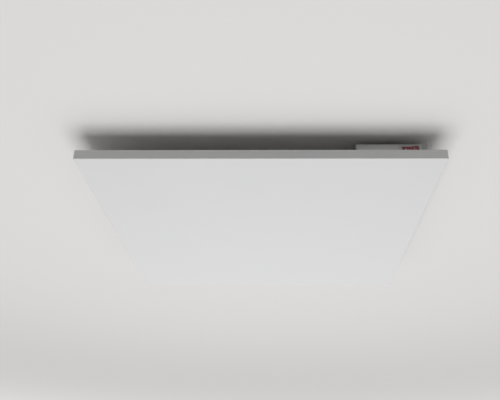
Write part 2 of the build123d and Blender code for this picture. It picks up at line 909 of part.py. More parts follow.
def earth_nut_and_washer():
    z = z_earth() + earth_ring
    seat = z + earth_washer
    washer = disc(earth_spacer_radius - slack, earth_pole, earth_y, z, seat)
    nut = Pos(earth_pole, earth_y, seat) * hexagon(earth_nut_width, earth_nut)
    bore = disc(earth_radius + fit / 2, earth_pole, earth_y, z - 1, seat + earth_nut + 1)
    return group([washer - bore, nut - bore])


# Thermal cut-outs


def cutout_place(side):
    return side * cutout_x, -side * cutout_y


def cutout_tabs(side):
    x, y = cutout_place(side)
    w, t = tab_width / 2, tab_sheet / 2
    start, end = cutout_radius - cutout_tab_root, cutout_radius + tab_length
    pieces = []
    for way in (-1, 1):
        ends = sorted((x + way * start, x + way * end))
        pieces.append(block((ends[0], y - w, z_lead - t), (ends[1], y + w, z_lead + t)))
    return group(pieces)


def cutout_cap_piece(side):
    x, y = cutout_place(side)
    cap = disc(cutout_cap_radius, x, y, z_insulation, z_insulation + cutout_cap)
    return fillet(cap.edges().group_by(Axis.Z)[0], cutout_round)


def cutout_body(side):
    x, y = cutout_place(side)
    low = z_insulation + cutout_cap
    body = disc(cutout_radius, x, y, low, low + cutout_height)
    return body - cutout_tabs(side).solids()


def pressing_pads():
    low = z_insulation + cutout_cap + cutout_height
    return group(disc(cutout_pad_radius, *cutout_place(side), low, z_rim) for side in cutouts.values())


# Leads and what they plug into


def receptacle(x, y, z, turn, roll=0):
    # Its mouth is at the given place and its barrel points along +Y before the turn.
    w, h = receptacle_width / 2, receptacle_height / 2
    end = receptacle_length + barrel_length
    body = fillet(block((-w, 0, -h), (w, receptacle_length, h)).edges().filter_by(Axis.Y), receptacle_round)
    body += bar_along_y(barrel_radius, 0, 0, receptacle_length, end)
    tab_w, tab_h = tab_width / 2 + fit, tab_sheet / 2 + fit
    body -= block((-tab_w, -1, -tab_h), (tab_w, tab_length, tab_h))
    body -= bar_along_y(lead_radius + pivot_fit, 0, 0, end - barrel_grip, end + 1)
    return Pos(x, y, z) * Rot(0, 0, turn) * Rot(0, roll, 0) * body


def receptacle_mouth():
    return housing_end + housing_wall + fit


def cutout_mouth():
    return cutout_radius + fit


def busbar_mouth():
    return busbar_x - busbar_width / 2 - fit


def spade_receptacles():
    pieces = [
        receptacle(x, receptacle_mouth(), z_switch, 0, roll=quarter_turn) for x in (switch_x, feed_tab_x)
    ]
    for side in cutouts.values():
        x, y = cutout_place(side)
        pieces += [receptacle(x + way * cutout_mouth(), y, z_lead, -quarter_turn * way) for way in (-1, 1)]
    for side, (_, y) in busbar_tab_places().items():
        pieces.append(receptacle(side * busbar_mouth(), y, z_lead, quarter_turn * side))
    return group(pieces)


def tube(path):
    start = Plane(origin=path @ 0, z_dir=path % 0)
    return sweep(start * Circle(lead_radius), path=path)


def block_entry(pole):
    return pole, block_y0 + insert_recess + barrel_grip, z_pole


def switch_feed_path():
    y_run = box_y0 + lead_run_feed
    x_turn = feed_tab_x - 2 * lead_bend
    lead_end = receptacle_mouth() + receptacle_reach
    y_turn = lead_end + barrel_grip + lead_bend
    return FilletPolyline(
        block_entry(line_pole),
        (line_pole, y_run, z_pole),
        (x_turn, y_run, z_switch),
        (x_turn, y_turn, z_switch),
        (feed_tab_x, y_turn, z_switch),
        (feed_tab_x, lead_end, z_switch),
        radius=lead_bend - fit,
    )


def switched_line_path():
    x, y = cutout_place(1)
    return FilletPolyline(
        (switch_x, receptacle_mouth() + receptacle_reach, z_switch),
        (switch_x, switched_y, z_switch),
        (switched_x, switched_y, z_switch),
        (switched_x, switched_y, z_lead),
        (switched_x, y, z_lead),
        (x + cutout_mouth() + receptacle_reach, y, z_lead),
        radius=[lead_bend, lead_bend, lead_bend, lead_wide_bend],
    )


def neutral_path():
    y_run = box_y0 + lead_run_neutral
    return FilletPolyline(
        block_entry(neutral_pole),
        (neutral_pole, y_run, z_pole),
        (neutral_x, y_run, z_pole),
        (neutral_x, neutral_y, z_pole),
        (neutral_x, neutral_y, z_lead),
        (busbar_mouth() - receptacle_reach, neutral_y, z_lead),
        radius=lead_bend,
    )


def cutout_link_path():
    x, y = cutout_place(1)
    reach = x - cutout_mouth() - receptacle_reach
    route = [(reach, y, z_lead), (0, y, z_lead), (0, -y, z_lead), (-reach, -y, z_lead)]
    return FilletPolyline(*route, radius=lead_wide_bend)


def line_busbar_path():
    x, y = cutout_place(-1)
    start = x - cutout_mouth() - receptacle_reach
    return Line((start, y, z_lead), (receptacle_reach - busbar_mouth(), y, z_lead))


def earth_path():
    end = earth_y + earth_ring_radius + earth_barrel - barrel_grip
    return Line(block_entry(earth_pole), (earth_pole, end, z_pole))


def panel_paths():
    # The runs that the insulation is grooved for, in plan.
    x, y = cutout_place(1)
    far = cutout_place(-1)[0]
    corner = [(switched_x, switched_y), (switched_x, y), (x + cutout_radius, y)]
    link = [(x - cutout_radius, y), (0, y), (0, -y), (far + cutout_radius, -y)]
    straight = [[(far, -y), (-busbar_x, -y)], [(neutral_x, neutral_y), (busbar_x, neutral_y)]]
    bent = [FilletPolyline(*route, radius=lead_wide_bend) for route in (corner, link)]
    return bent + [Line(*route) for route in straight]


def grommet():
    lip = grommet_hole + grommet_lip
    bottom, top = z_rim - grommet_lip_sheet, z_cover + grommet_lip_sheet
    ring = disc(lip, grommet_x, grommet_y, bottom, z_rim) + disc(lip, grommet_x, grommet_y, z_cover, top)
    ring += disc(grommet_hole, grommet_x, grommet_y, bottom, top)
    return ring - disc(grommet_bore, grommet_x, grommet_y, bottom - 1, top + 1)


pieces = {
    "front_tray": front_tray(),
    "back_cover": back_cover(),
    "cover_screws": cover_screws(),
    "carrier_sheet": carrier_sheet(),
    "heating_strips": heating_strips(),
    "busbars": busbars(),
    "busbar_tabs": busbar_tabs(),
    "element_cover_sheet": element_cover_sheet(),
    "reflector_foil": reflector_foil(),
    "insulation_board": insulation_board(),
    "bar_rivets": bar_rivets(),
    "hanger_studs": group(hanger_stud(x, y) for x, y in stud_places()),
    "stud_nuts": stud_nuts(),
    "lock_screws": group(lock_screw(side) for side in rail_sides.values()),
    "lock_nuts": group(lock_nut_piece(side) for side in rail_sides.values()),
    "box_base": box_base(),
    "box_cover": box_cover(),
    "box_screws": box_screws(),
    "base_screws": base_screws(),
    "blank_plate": blank_plate(),
    "switch_housing": switch_housing(),
    "switch_rocker": switch_rocker(),
    "rocker_plunger": rocker_plunger(),
    "plunger_spring": plunger_spring(),
    "contact_blade": contact_blade(),
    "moving_contact": moving_contact(),
    "switch_tabs": switch_tabs(),
    "terminal_block": terminal_block(),
    "terminal_inserts": terminal_inserts(),
    "terminal_screws": terminal_screws(),
    "gland_body": gland_body(),
    "gland_seal": gland_seal_piece(),
    "gland_cap_nut": gland_cap_nut(),
    "gland_locknut": gland_locknut(),
    "earth_stud": earth_stud(),
    "earth_spacer": earth_spacer(),
    "earth_ring": earth_ring_piece(),
    "earth_nut_and_washer": earth_nut_and_washer(),
    "pressing_pads": pressing_pads(),
    "spade_receptacles": spade_receptacles(),
    "switch_feed_lead": tube(switch_feed_path()),
    "switched_line_lead": tube(switched_line_path()),
    "neutral_lead": tube(neutral_path()),
    "cutout_link_lead": tube(cutout_link_path()),
    "line_busbar_lead": tube(line_busbar_path()),
    "earth_lead": tube(earth_path()),
    "lead_grommet": grommet(),
}
for place, side in rail_sides.items():
    pieces[f"{place}_ceiling_rail"] = ceiling_rail(side)
    pieces[f"{place}_hanger_bar"] = hanger_bar(side)
    pieces[f"{place}_lock_bracket"] = lock_bracket(side)
for place, side in cutouts.items():
    pieces[f"{place}_cutout_cap"] = cutout_cap_piece(side)
    pieces[f"{place}_cutout_body"] = cutout_body(side)
    pieces[f"{place}_cutout_tabs"] = cutout_tabs(side)

os.makedirs("parts", exist_ok=True)
for node, shape in pieces.items():
    export_step(shape, f"parts/{node}.step")
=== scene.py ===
import json
from math import cos, pi, radians, sin

import bmesh
import bpy
from mathutils import Matrix, Vector


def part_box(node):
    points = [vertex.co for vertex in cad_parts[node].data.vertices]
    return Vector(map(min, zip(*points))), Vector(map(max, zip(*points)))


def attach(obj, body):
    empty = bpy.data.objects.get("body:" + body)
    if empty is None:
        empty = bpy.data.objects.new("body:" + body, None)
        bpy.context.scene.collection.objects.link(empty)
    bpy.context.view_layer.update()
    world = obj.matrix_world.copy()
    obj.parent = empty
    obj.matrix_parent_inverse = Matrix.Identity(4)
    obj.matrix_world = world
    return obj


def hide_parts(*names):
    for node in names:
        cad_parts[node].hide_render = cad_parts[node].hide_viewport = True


# An infrared panel heater under a ceiling. Metres, in the CAD frame: the origin is on the ceiling,
# X runs along the rails, Y away from the near side, Z up.

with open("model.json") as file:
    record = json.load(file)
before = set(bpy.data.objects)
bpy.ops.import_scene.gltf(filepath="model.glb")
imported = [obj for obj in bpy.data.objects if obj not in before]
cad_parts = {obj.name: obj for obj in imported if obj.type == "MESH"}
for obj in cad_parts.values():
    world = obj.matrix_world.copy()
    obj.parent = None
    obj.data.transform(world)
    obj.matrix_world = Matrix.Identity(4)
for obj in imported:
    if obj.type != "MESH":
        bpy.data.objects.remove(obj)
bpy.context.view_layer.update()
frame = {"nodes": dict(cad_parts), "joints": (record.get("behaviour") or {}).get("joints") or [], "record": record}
nodes = frame["nodes"]
slotOf = {entry["node"]: entry["material_slot"] for entry in frame["record"]["subparts"]}
joints = {joint["name"]: joint for joint in frame["joints"]}
mm = 0.001
print("stage: frame loaded, nodes:", len(nodes))


# Short ways to the nodes that both kinds of tree use.

def addNode(tree, kind, inputs=None, **settings):
    node = tree.nodes.new(kind)
    for name, value in settings.items():
        setattr(node, name, value)
    for name, value in (inputs or {}).items():
        socket = node.inputs[name]
        if isinstance(value, bpy.types.NodeSocket):
            tree.links.new(value, socket)
        else:
            socket.default_value = value
    return node


def mathNode(tree, operation, first, second=0.0, third=0.0):
    sockets = {0: first, 1: second, 2: third}
    return addNode(tree, "ShaderNodeMath", sockets, operation=operation).outputs[0]


def times(tree, value, factor):
    return mathNode(tree, "MULTIPLY", value, factor)


def weighed(tree, first, second, share):
    # A sum of two values, the first with this share and the second with the rest.
    return mathNode(tree, "MULTIPLY_ADD", first, share, times(tree, second, 1.0 - share))


def remap(tree, value, source=(0.0, 1.0), target=(0.0, 1.0), **settings):
    sockets = {0: value, 1: source[0], 2: source[1], 3: target[0], 4: target[1]}
    return addNode(tree, "ShaderNodeMapRange", sockets, **settings).outputs[0]


def vector(tree, x=0.0, y=0.0, z=0.0):
    return addNode(tree, "ShaderNodeCombineXYZ", {0: x, 1: y, 2: z}).outputs[0]


def apart(tree, place):
    return addNode(tree, "ShaderNodeSeparateXYZ", {0: place}).outputs


def lengthOf(tree, place):
    return addNode(tree, "ShaderNodeVectorMath", {0: place}, operation="LENGTH").outputs["Value"]


def mixColour(tree, factor, first, second):
    node = addNode(tree, "ShaderNodeMix", {0: factor, 6: first, 7: second}, data_type="RGBA")
    return node.outputs[2]


def stretched(tree, place, factors):
    return addNode(tree, "ShaderNodeMapping", {"Vector": place, "Scale": factors}).outputs[0]


def noise(tree, place, scale, detail=2.0, roughness=0.5, distortion=0.0):
    sockets = {"Vector": place, "Scale": scale, "Detail": detail, "Roughness": roughness,
               "Distortion": distortion}
    return addNode(tree, "ShaderNodeTexNoise", sockets).outputs["Fac"]


# Surface effects, each built once. A place on the piece goes in; a tone, a gloss and a height come out.

patchRange = (0.42, 0.72)  # where a noise starts to leave patches, and where they are full
foldRange = (0.995, 0.80)  # how far the rounded normal agrees with the real one, from flat to edge
spangleDrift = dict(scale=220.0, reach=(0.004, 0.004, 0.004))


def newEffect(name, inputs):
    group = bpy.data.node_groups.new(name, "ShaderNodeTree")
    group.interface.new_socket("Place", in_out="INPUT", socket_type="NodeSocketVector")
    for label, value in inputs.items():
        socket = group.interface.new_socket(label, in_out="INPUT", socket_type="NodeSocketFloat")
        socket.default_value = value
    for label in ("Tone", "Gloss", "Height"):
        group.interface.new_socket(label, in_out="OUTPUT", socket_type="NodeSocketFloat")
    return group, group.nodes.new("NodeGroupInput").outputs, group.nodes.new("NodeGroupOutput")


def finishEffect(group, out, tone, gloss, height):
    for name, value in (("Tone", tone), ("Gloss", gloss), ("Height", height)):
        group.links.new(value, out.inputs[name])
    return group


def powderCoat():
    tree, ways, out = newEffect("powderCoat", {"Pebble": 900.0, "Cloud": 9.0})
    pebble = noise(tree, ways["Place"], ways["Pebble"], roughness=0.45)
    cloud = noise(tree, ways["Place"], ways["Cloud"], detail=3.0, roughness=0.55)
    fine = noise(tree, ways["Place"], times(tree, ways["Pebble"], 2.6), detail=1.0)
    tone = weighed(tree, fine, cloud, 0.35)
    gloss = weighed(tree, pebble, cloud, 0.5)
    return finishEffect(tree, out, tone, gloss, pebble)


def rolledSheet():
    # Zinc flakes with wandering outlines, and the fine lines that rolling leaves along X.
    tree, ways, out = newEffect("rolledSheet", {"Spangle": 190.0, "Grain": 700.0})
    sockets = {"Vector": ways["Place"], "Scale": spangleDrift["scale"]}
    drift = addNode(tree, "ShaderNodeTexNoise", sockets).outputs["Color"]
    sockets = {0: drift, 1: spangleDrift["reach"], 2: ways["Place"]}
    drifted = addNode(tree, "ShaderNodeVectorMath", sockets, operation="MULTIPLY_ADD").outputs[0]
    cells = addNode(tree, "ShaderNodeTexVoronoi", {"Vector": drifted, "Scale": ways["Spangle"]})
    flake = addNode(tree, "ShaderNodeSeparateColor", {0: cells.outputs["Color"]}).outputs[0]
    drawn = stretched(tree, ways["Place"], (0.03, 1.0, 1.0))
    lines = noise(tree, drawn, ways["Grain"], detail=3.0, roughness=0.6)
    tone = weighed(tree, flake, lines, 0.6)
    gloss = weighed(tree, flake, lines, 0.5)
    return finishEffect(tree, out, tone, gloss, lines)


def platedSteel():
    tree, ways, out = newEffect("platedSteel", {"Grain": 1500.0, "Cloud": 180.0})
    grain = noise(tree, ways["Place"], ways["Grain"], detail=3.0, roughness=0.6)
    cloud = noise(tree, ways["Place"], ways["Cloud"])
    return finishEffect(tree, out, cloud, grain, grain)


def mouldedGrain():
    tree, ways, out = newEffect("mouldedGrain", {"Pit": 1600.0, "Flow": 35.0})
    sockets = {"Vector": ways["Place"], "Scale": ways["Pit"]}
    pits = addNode(tree, "ShaderNodeTexVoronoi", sockets, feature="SMOOTH_F1").outputs["Distance"]
    drawn = stretched(tree, ways["Place"], (1.0, 1.0, 0.4))
    flow = noise(tree, drawn, ways["Flow"], detail=3.0, roughness=0.6, distortion=0.8)
    fine = noise(tree, ways["Place"], ways["Pit"], detail=1.0)
    tone = weighed(tree, flow, fine, 0.7)
    gloss = weighed(tree, pits, flow, 0.6)
    return finishEffect(tree, out, tone, gloss, pits)


def wovenGlass():
    tree, ways, out = newEffect("wovenGlass", {"Thread": 5200.0, "Cloud": 20.0})
    x, y, _ = apart(tree, ways["Place"])
    warp, weft = [mathNode(tree, "SINE", times(tree, way, ways["Thread"])) for way in (x, y)]
    height = mathNode(tree, "MULTIPLY_ADD", times(tree, warp, weft), 0.5, 0.5)
    cloud = noise(tree, ways["Place"], ways["Cloud"], detail=3.0)
    tone = weighed(tree, height, cloud, 0.4)
    return finishEffect(tree, out, tone, height, height)


def mattedFibre():
    tree, ways, out = newEffect("mattedFibre", {"Fibre": 260.0, "Clump": 30.0})
    along, across = [noise(tree, stretched(tree, ways["Place"], factors), ways["Fibre"], detail=5.0,
                           roughness=0.7, distortion=1.5) for factors in ((0.2, 1.0, 1.6), (1.0, 0.2, 1.6))]
    fibre = mathNode(tree, "MAXIMUM", along, across)
    clump = noise(tree, ways["Place"], ways["Clump"], detail=3.0)
    tone = weighed(tree, fibre, clump, 0.6)
    return finishEffect(tree, out, tone, clump, fibre)


def crinkledFoil():
    tree, ways, out = newEffect("crinkledFoil", {"Crease": 70.0, "Grain": 900.0})
    sockets = {"Vector": ways["Place"], "Scale": ways["Crease"]}
    crease = addNode(tree, "ShaderNodeTexVoronoi", sockets, feature="DISTANCE_TO_EDGE").outputs["Distance"]
    buckle = noise(tree, ways["Place"], ways["Crease"], detail=4.0, roughness=0.6, distortion=1.0)
    grain = noise(tree, stretched(tree, ways["Place"], (0.05, 1.0, 1.0)), ways["Grain"])
    height = mathNode(tree, "MULTIPLY_ADD", crease, 0.5, buckle)
    return finishEffect(tree, out, buckle, grain, height)


def settledDust():
    tree, ways, out = newEffect("settledDust", {"Patch": 14.0, "Speck": 1100.0})
    patch = noise(tree, ways["Place"], ways["Patch"], detail=4.0, roughness=0.6, distortion=0.4)
    speck = noise(tree, ways["Place"], ways["Speck"], roughness=0.6)
    mask = times(tree, remap(tree, patch, patchRange), speck)
    return finishEffect(tree, out, mask, mask, speck)


def rubbedEdge():
    # Finds the edges by how far a rounded normal leans from the real one, and breaks them up with noise. The mask
    # lays a tone along the edges: a painted highlight where that tone is lighter than the surface, darker wear on
    # the zinc sheet.
    tree, ways, out = newEffect("rubbedEdge", {"Reach": 0.6 * mm, "Patch": 160.0})
    rounded = addNode(tree, "ShaderNodeBevel", {"Radius": ways["Reach"]}, samples=4).outputs[0]
    real = addNode(tree, "ShaderNodeNewGeometry").outputs["Normal"]
    lean = addNode(tree, "ShaderNodeVectorMath", {0: rounded, 1: real}, operation="DOT_PRODUCT")
    edge = remap(tree, lean.outputs["Value"], foldRange)
    patch = noise(tree, ways["Place"], ways["Patch"], detail=3.0, roughness=0.6)
    mask = times(tree, edge, remap(tree, patch, patchRange))
    return finishEffect(tree, out, mask, edge, patch)


effects = {build.__name__: build() for build in (
    powderCoat, rolledSheet, platedSteel, mouldedGrain, wovenGlass, mattedFibre, crinkledFoil, settledDust,
    rubbedEdge)}
print("stage: surface effects built:", len(effects))


# One finish for each material slot. scales are the effect's own inputs, light and dark the two tones, rough the
# range of roughness, bump its depth in millimetres. dust and wear are shares, worn is the tone laid along the
# edges, and reach how far it goes in from them, in millimetres. On every finish but the zinc sheet that edge tone
# is lighter than the surface, a painted highlight along the edges; on the zinc sheet it is darker wear.

finishes = {
    "whiteFacePaint": dict(
        effect="powderCoat", scales=dict(Pebble=900.0, Cloud=9.0), light=(0.66, 0.66, 0.663),
        dark=(0.64, 0.64, 0.645), rough=(0.34, 0.46), shine=0.35, bump=0.010, dust=0.01,
        worn=(0.74, 0.74, 0.74), wear=0.30, reach=0.6),
    "whiteBackPaint": dict(
        effect="powderCoat", scales=dict(Pebble=760.0, Cloud=6.0), light=(0.66, 0.66, 0.65),
        dark=(0.60, 0.60, 0.595), rough=(0.45, 0.62), bump=0.016, dust=0.12, worn=(0.70, 0.70, 0.69),
        wear=0.30, reach=0.6),
    "zincSheet": dict(
        effect="rolledSheet", scales=dict(Spangle=190.0, Grain=700.0), light=(0.70, 0.71, 0.72),
        dark=(0.53, 0.545, 0.56), rough=(0.30, 0.50), bump=0.012, metal=1.0, dust=0.08,
        worn=(0.42, 0.43, 0.44), wear=0.45, reach=0.45),
    "zincFixings": dict(
        effect="platedSteel", scales=dict(Grain=1500.0, Cloud=180.0), light=(0.78, 0.79, 0.80),
        dark=(0.60, 0.62, 0.66), rough=(0.18, 0.38), bump=0.006, metal=1.0, dust=0.05,
        worn=(0.88, 0.88, 0.88), wear=0.35, reach=0.35),
    "boxPlastic": dict(
        effect="mouldedGrain", scales=dict(Pit=1600.0, Flow=35.0), light=(0.545, 0.55, 0.55),
        dark=(0.50, 0.505, 0.505), rough=(0.42, 0.62), bump=0.014, dust=0.06, worn=(0.72, 0.72, 0.70),
        wear=0.30, reach=0.6),
    "plateFilm": dict(
        effect="mouldedGrain", scales=dict(Pit=2400.0, Flow=20.0), light=(0.59, 0.595, 0.595),
        dark=(0.54, 0.545, 0.545), rough=(0.30, 0.42), bump=0.004, dust=0.04),
    "switchGrey": dict(
        effect="mouldedGrain", scales=dict(Pit=1800.0, Flow=45.0), light=(0.53, 0.535, 0.53),
        dark=(0.47, 0.475, 0.47), rough=(0.36, 0.52), bump=0.008, dust=0.05, worn=(0.66, 0.66, 0.64),
        wear=0.25, reach=0.45),
    "rockerRed": dict(
        effect="mouldedGrain", scales=dict(Pit=2000.0, Flow=50.0), light=(0.30, 0.070, 0.080),
        dark=(0.23, 0.045, 0.055), rough=(0.22, 0.36), bump=0.004, dust=0.02, worn=(0.42, 0.16, 0.16),
        wear=0.25, reach=0.4),
    "springSteel": dict(
        effect="platedSteel", scales=dict(Grain=2400.0, Cloud=420.0), light=(0.60, 0.60, 0.61),
        dark=(0.44, 0.44, 0.46), rough=(0.20, 0.40), bump=0.004, metal=1.0, dust=0.02),
    "brass": dict(
        effect="platedSteel", scales=dict(Grain=1900.0, Cloud=240.0), light=(0.80, 0.62, 0.30),
        dark=(0.62, 0.44, 0.19), rough=(0.22, 0.42), bump=0.006, metal=1.0, dust=0.03),
    "silverContact": dict(
        effect="platedSteel", scales=dict(Grain=2600.0, Cloud=520.0), light=(0.88, 0.87, 0.84),
        dark=(0.68, 0.66, 0.60), rough=(0.18, 0.34), bump=0.004, metal=1.0, dust=0.02),
    "tinnedCopper": dict(
        effect="platedSteel", scales=dict(Grain=1300.0, Cloud=120.0), light=(0.80, 0.79, 0.76),
        dark=(0.66, 0.63, 0.58), rough=(0.25, 0.45), bump=0.006, metal=1.0, dust=0.03),
    "copper": dict(
        effect="rolledSheet", scales=dict(Spangle=9.0, Grain=900.0), light=(0.86, 0.50, 0.34),
        dark=(0.62, 0.30, 0.18), rough=(0.25, 0.45), bump=0.005, metal=1.0, dust=0.03),
    "carbonTrack": dict(
        effect="mouldedGrain", scales=dict(Pit=2600.0, Flow=110.0), light=(0.045, 0.046, 0.050),
        dark=(0.020, 0.020, 0.022), rough=(0.55, 0.80), bump=0.010, dust=0.05),
    "glassFibreSheet": dict(
        effect="wovenGlass", scales=dict(Thread=5200.0, Cloud=20.0), light=(0.62, 0.58, 0.40),
        dark=(0.45, 0.42, 0.26), rough=(0.40, 0.60), bump=0.030, dust=0.05),
    "foil": dict(
        effect="crinkledFoil", scales=dict(Crease=70.0, Grain=900.0), light=(0.90, 0.90, 0.91),
        dark=(0.74, 0.74, 0.76), rough=(0.14, 0.30), bump=0.10, metal=1.0, dust=0.02),
    "insulation": dict(
        effect="mattedFibre", scales=dict(Fibre=260.0, Clump=30.0), light=(0.74, 0.68, 0.50),
        dark=(0.46, 0.41, 0.27), rough=(0.85, 0.98), bump=0.30, dust=0.05),
    "cutoutPhenolic": dict(
        effect="mouldedGrain", scales=dict(Pit=2000.0, Flow=90.0), light=(0.060, 0.045, 0.038),
        dark=(0.032, 0.024, 0.020), rough=(0.30, 0.50), bump=0.006, dust=0.06),
    "cutoutAluminium": dict(
        effect="platedSteel", scales=dict(Grain=1400.0, Cloud=150.0), light=(0.86, 0.86, 0.86),
        dark=(0.70, 0.70, 0.71), rough=(0.22, 0.40), bump=0.005, metal=1.0, dust=0.03),
    "padSilicone": dict(
        effect="mouldedGrain", scales=dict(Pit=1200.0, Flow=70.0), light=(0.58, 0.20, 0.13),
        dark=(0.46, 0.14, 0.09), rough=(0.60, 0.80), bump=0.015, dust=0.06),
    "blockPolyamide": dict(
        effect="mouldedGrain", scales=dict(Pit=1700.0, Flow=60.0), light=(0.74, 0.71, 0.62),
        dark=(0.64, 0.61, 0.52), rough=(0.38, 0.55), bump=0.008, dust=0.04),
    "glandPolyamide": dict(
        effect="mouldedGrain", scales=dict(Pit=1500.0, Flow=60.0), light=(0.33, 0.34, 0.35),
        dark=(0.27, 0.28, 0.29), rough=(0.36, 0.54), bump=0.010, dust=0.07),
    "sealRubber": dict(
        effect="mouldedGrain", scales=dict(Pit=1100.0, Flow=80.0), light=(0.035, 0.035, 0.036),
        dark=(0.018, 0.018, 0.019), rough=(0.60, 0.85), bump=0.012, dust=0.08),
    "leadBrown": dict(
        effect="mouldedGrain", scales=dict(Pit=2600.0, Flow=90.0), light=(0.17, 0.075, 0.035),
        dark=(0.12, 0.050, 0.024), rough=(0.36, 0.52), bump=0.005, dust=0.05),
    "leadBlue": dict(
        effect="mouldedGrain", scales=dict(Pit=2600.0, Flow=95.0), light=(0.05, 0.17, 0.52),
        dark=(0.03, 0.12, 0.40), rough=(0.36, 0.52), bump=0.005, dust=0.05),
    "leadGreen": dict(
        effect="mouldedGrain", scales=dict(Pit=2600.0, Flow=100.0), light=(0.06, 0.36, 0.09),
        dark=(0.04, 0.26, 0.06), rough=(0.36, 0.52), bump=0.005, dust=0.05, stripe=(0.62, 0.48, 0.04)),
}
toneRange = (-0.4, 1.4)  # stretches an effect's tone, whose noise keeps near its middle
dust = dict(colour=(0.50, 0.47, 0.42, 1.0), patch=14.0, gain=2.0, dulls=0.5)
earthStripe = dict(winding=420.0, edge=(0.30, 0.42))


def helixBand(tree, place):
    # The earth lead lies along Y: a second colour winds round its middle line.
    toMiddle = [-(low + high) / 2 for low, high in zip(*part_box("earth_lead"))]
    centred = addNode(tree, "ShaderNodeMapping", {"Vector": place, "Location": toMiddle}).outputs[0]
    x, y, z = apart(tree, centred)
    turn = mathNode(tree, "ARCTAN2", z, x)
    wave = mathNode(tree, "SINE", mathNode(tree, "MULTIPLY_ADD", y, earthStripe["winding"], turn))
    return remap(tree, wave, earthStripe["edge"])


def makeFinish(name, finish):
    material = bpy.data.materials.new(name + "Finish")
    material.use_nodes = True
    tree = material.node_tree
    shader = tree.nodes["Principled BSDF"]
    place = addNode(tree, "ShaderNodeTexCoord").outputs["Object"]

    def effect(kind, values):
        return addNode(tree, "ShaderNodeGroup", {"Place": place, **values}, node_tree=effects[kind]).outputs

    surface = effect(finish["effect"], finish["scales"])
    settled = effect("settledDust", {"Patch": dust["patch"]})
    tone = remap(tree, surface["Tone"], target=toneRange)
    base = mixColour(tree, tone, (*finish["dark"], 1.0), (*finish["light"], 1.0))
    if "stripe" in finish:
        base = mixColour(tree, helixBand(tree, place), base, (*finish["stripe"], 1.0))
    # Along the edges: a painted highlight where the edge tone is lighter than the surface, darker wear on the zinc
    # sheet.
    if "wear" in finish:
        edge = effect("rubbedEdge", {"Reach": finish["reach"] * mm})
        base = mixColour(tree, times(tree, edge["Tone"], finish["wear"]), base, (*finish["worn"], 1.0))
    film = times(tree, settled["Tone"], finish["dust"] * dust["gain"])
    gloss = remap(tree, surface["Gloss"], target=finish["rough"])
    bump = addNode(tree, "ShaderNodeBump", {"Height": surface["Height"], "Distance": finish["bump"] * mm})
    for socket, value in (("Base Color", mixColour(tree, film, base, dust["colour"])),
                          ("Roughness", mathNode(tree, "ADD", gloss, times(tree, film, dust["dulls"]))),
                          ("Normal", bump.outputs[0])):
        tree.links.new(value, shader.inputs[socket])
    shader.inputs["Metallic"].default_value = finish.get("metal", 0.0)
    shader.inputs["Specular IOR Level"].default_value = finish.get("shine", 0.5)
    return material


materials = {name: makeFinish(name, finish) for name, finish in finishes.items()}


def camelName(name):
    first, *rest = name.split("_")
    return first + "".join(word.title() for word in rest)


def finishOf(slot):
    return materials[camelName(slot)]


for node, slot in slotOf.items():
    nodes[node].data.materials.clear()
    nodes[node].data.materials.append(finishOf(slot))
print("stage: finishes made:", len(materials))


# What the grown pieces share.

roundness = dict(rodSides=24, capSegments=32, capRings=20, threadSteps=20, threadSides=4)


def newGrowth(name, inputs):
    tree = bpy.data.node_groups.new(name, "GeometryNodeTree")
    for label, value in inputs.items():
        kind = {int: "NodeSocketInt", float: "NodeSocketFloat", type(None): "NodeSocketMaterial"}[type(value)]
        socket = tree.interface.new_socket(label, in_out="INPUT", socket_type=kind)
        if value is not None:
            socket.default_value = value
    tree.interface.new_socket("Geometry", in_out="OUTPUT", socket_type="NodeSocketGeometry")
    return tree, addNode(tree, "NodeGroupInput").outputs, addNode(tree, "NodeGroupOutput")


def joined(tree, parts):
    join = addNode(tree, "GeometryNodeJoinGeometry")
    for part in parts:
        tree.links.new(part, join.inputs[0])
    return join.outputs[0]


def shifted(tree, geometry, move=(0.0, 0.0, 0.0), turn=(0.0, 0.0, 0.0), scale=(1.0, 1.0, 1.0)):
    sockets = {"Geometry": geometry, "Translation": move, "Rotation": turn, "Scale": scale}
    return addNode(tree, "GeometryNodeTransform", sockets).outputs[0]


def ownPlace(tree):
    return apart(tree, addNode(tree, "GeometryNodeInputPosition").outputs[0])


def moved(tree, geometry, place):
    return addNode(tree, "GeometryNodeSetPosition", {"Geometry": geometry, "Position": place}).outputs[0]


def smoothed(tree, geometry, sharpFrom=0.6):
    soft = addNode(tree, "GeometryNodeSetShadeSmooth", {"Geometry": geometry}, domain="FACE").outputs[0]
    angle = addNode(tree, "GeometryNodeInputMeshEdgeAngle").outputs["Unsigned Angle"]
    sharp = mathNode(tree, "GREATER_THAN", angle, sharpFrom)
    sockets = {"Geometry": soft, "Selection": sharp, "Shade Smooth": False}
    return addNode(tree, "GeometryNodeSetShadeSmooth", sockets, domain="EDGE").outputs[0]


def crownedCap(tree, radius, height, steepness, dent=None):
    # A closed dome on a flat base: a sphere whose lower half is pressed flat, dished in the middle or not.
    sockets = {"Segments": roundness["capSegments"], "Rings": roundness["capRings"], "Radius": 1.0}
    ball = addNode(tree, "GeometryNodeMeshUVSphere", sockets).outputs[0]
    x, y, z = ownPlace(tree)
    rise = mathNode(tree, "POWER", mathNode(tree, "MAXIMUM", z, 0.0), steepness)
    if dent:
        outward = lengthOf(tree, vector(tree, x, y))
        sunk = remap(tree, outward, dent["from"], (dent["depth"], 0.0))
        rise = mathNode(tree, "SUBTRACT", rise, times(tree, sunk, mathNode(tree, "GREATER_THAN", z, 0.0)))
    across = [times(tree, way, radius) for way in (x, y)]
    return moved(tree, ball, vector(tree, *across, times(tree, rise, height)))


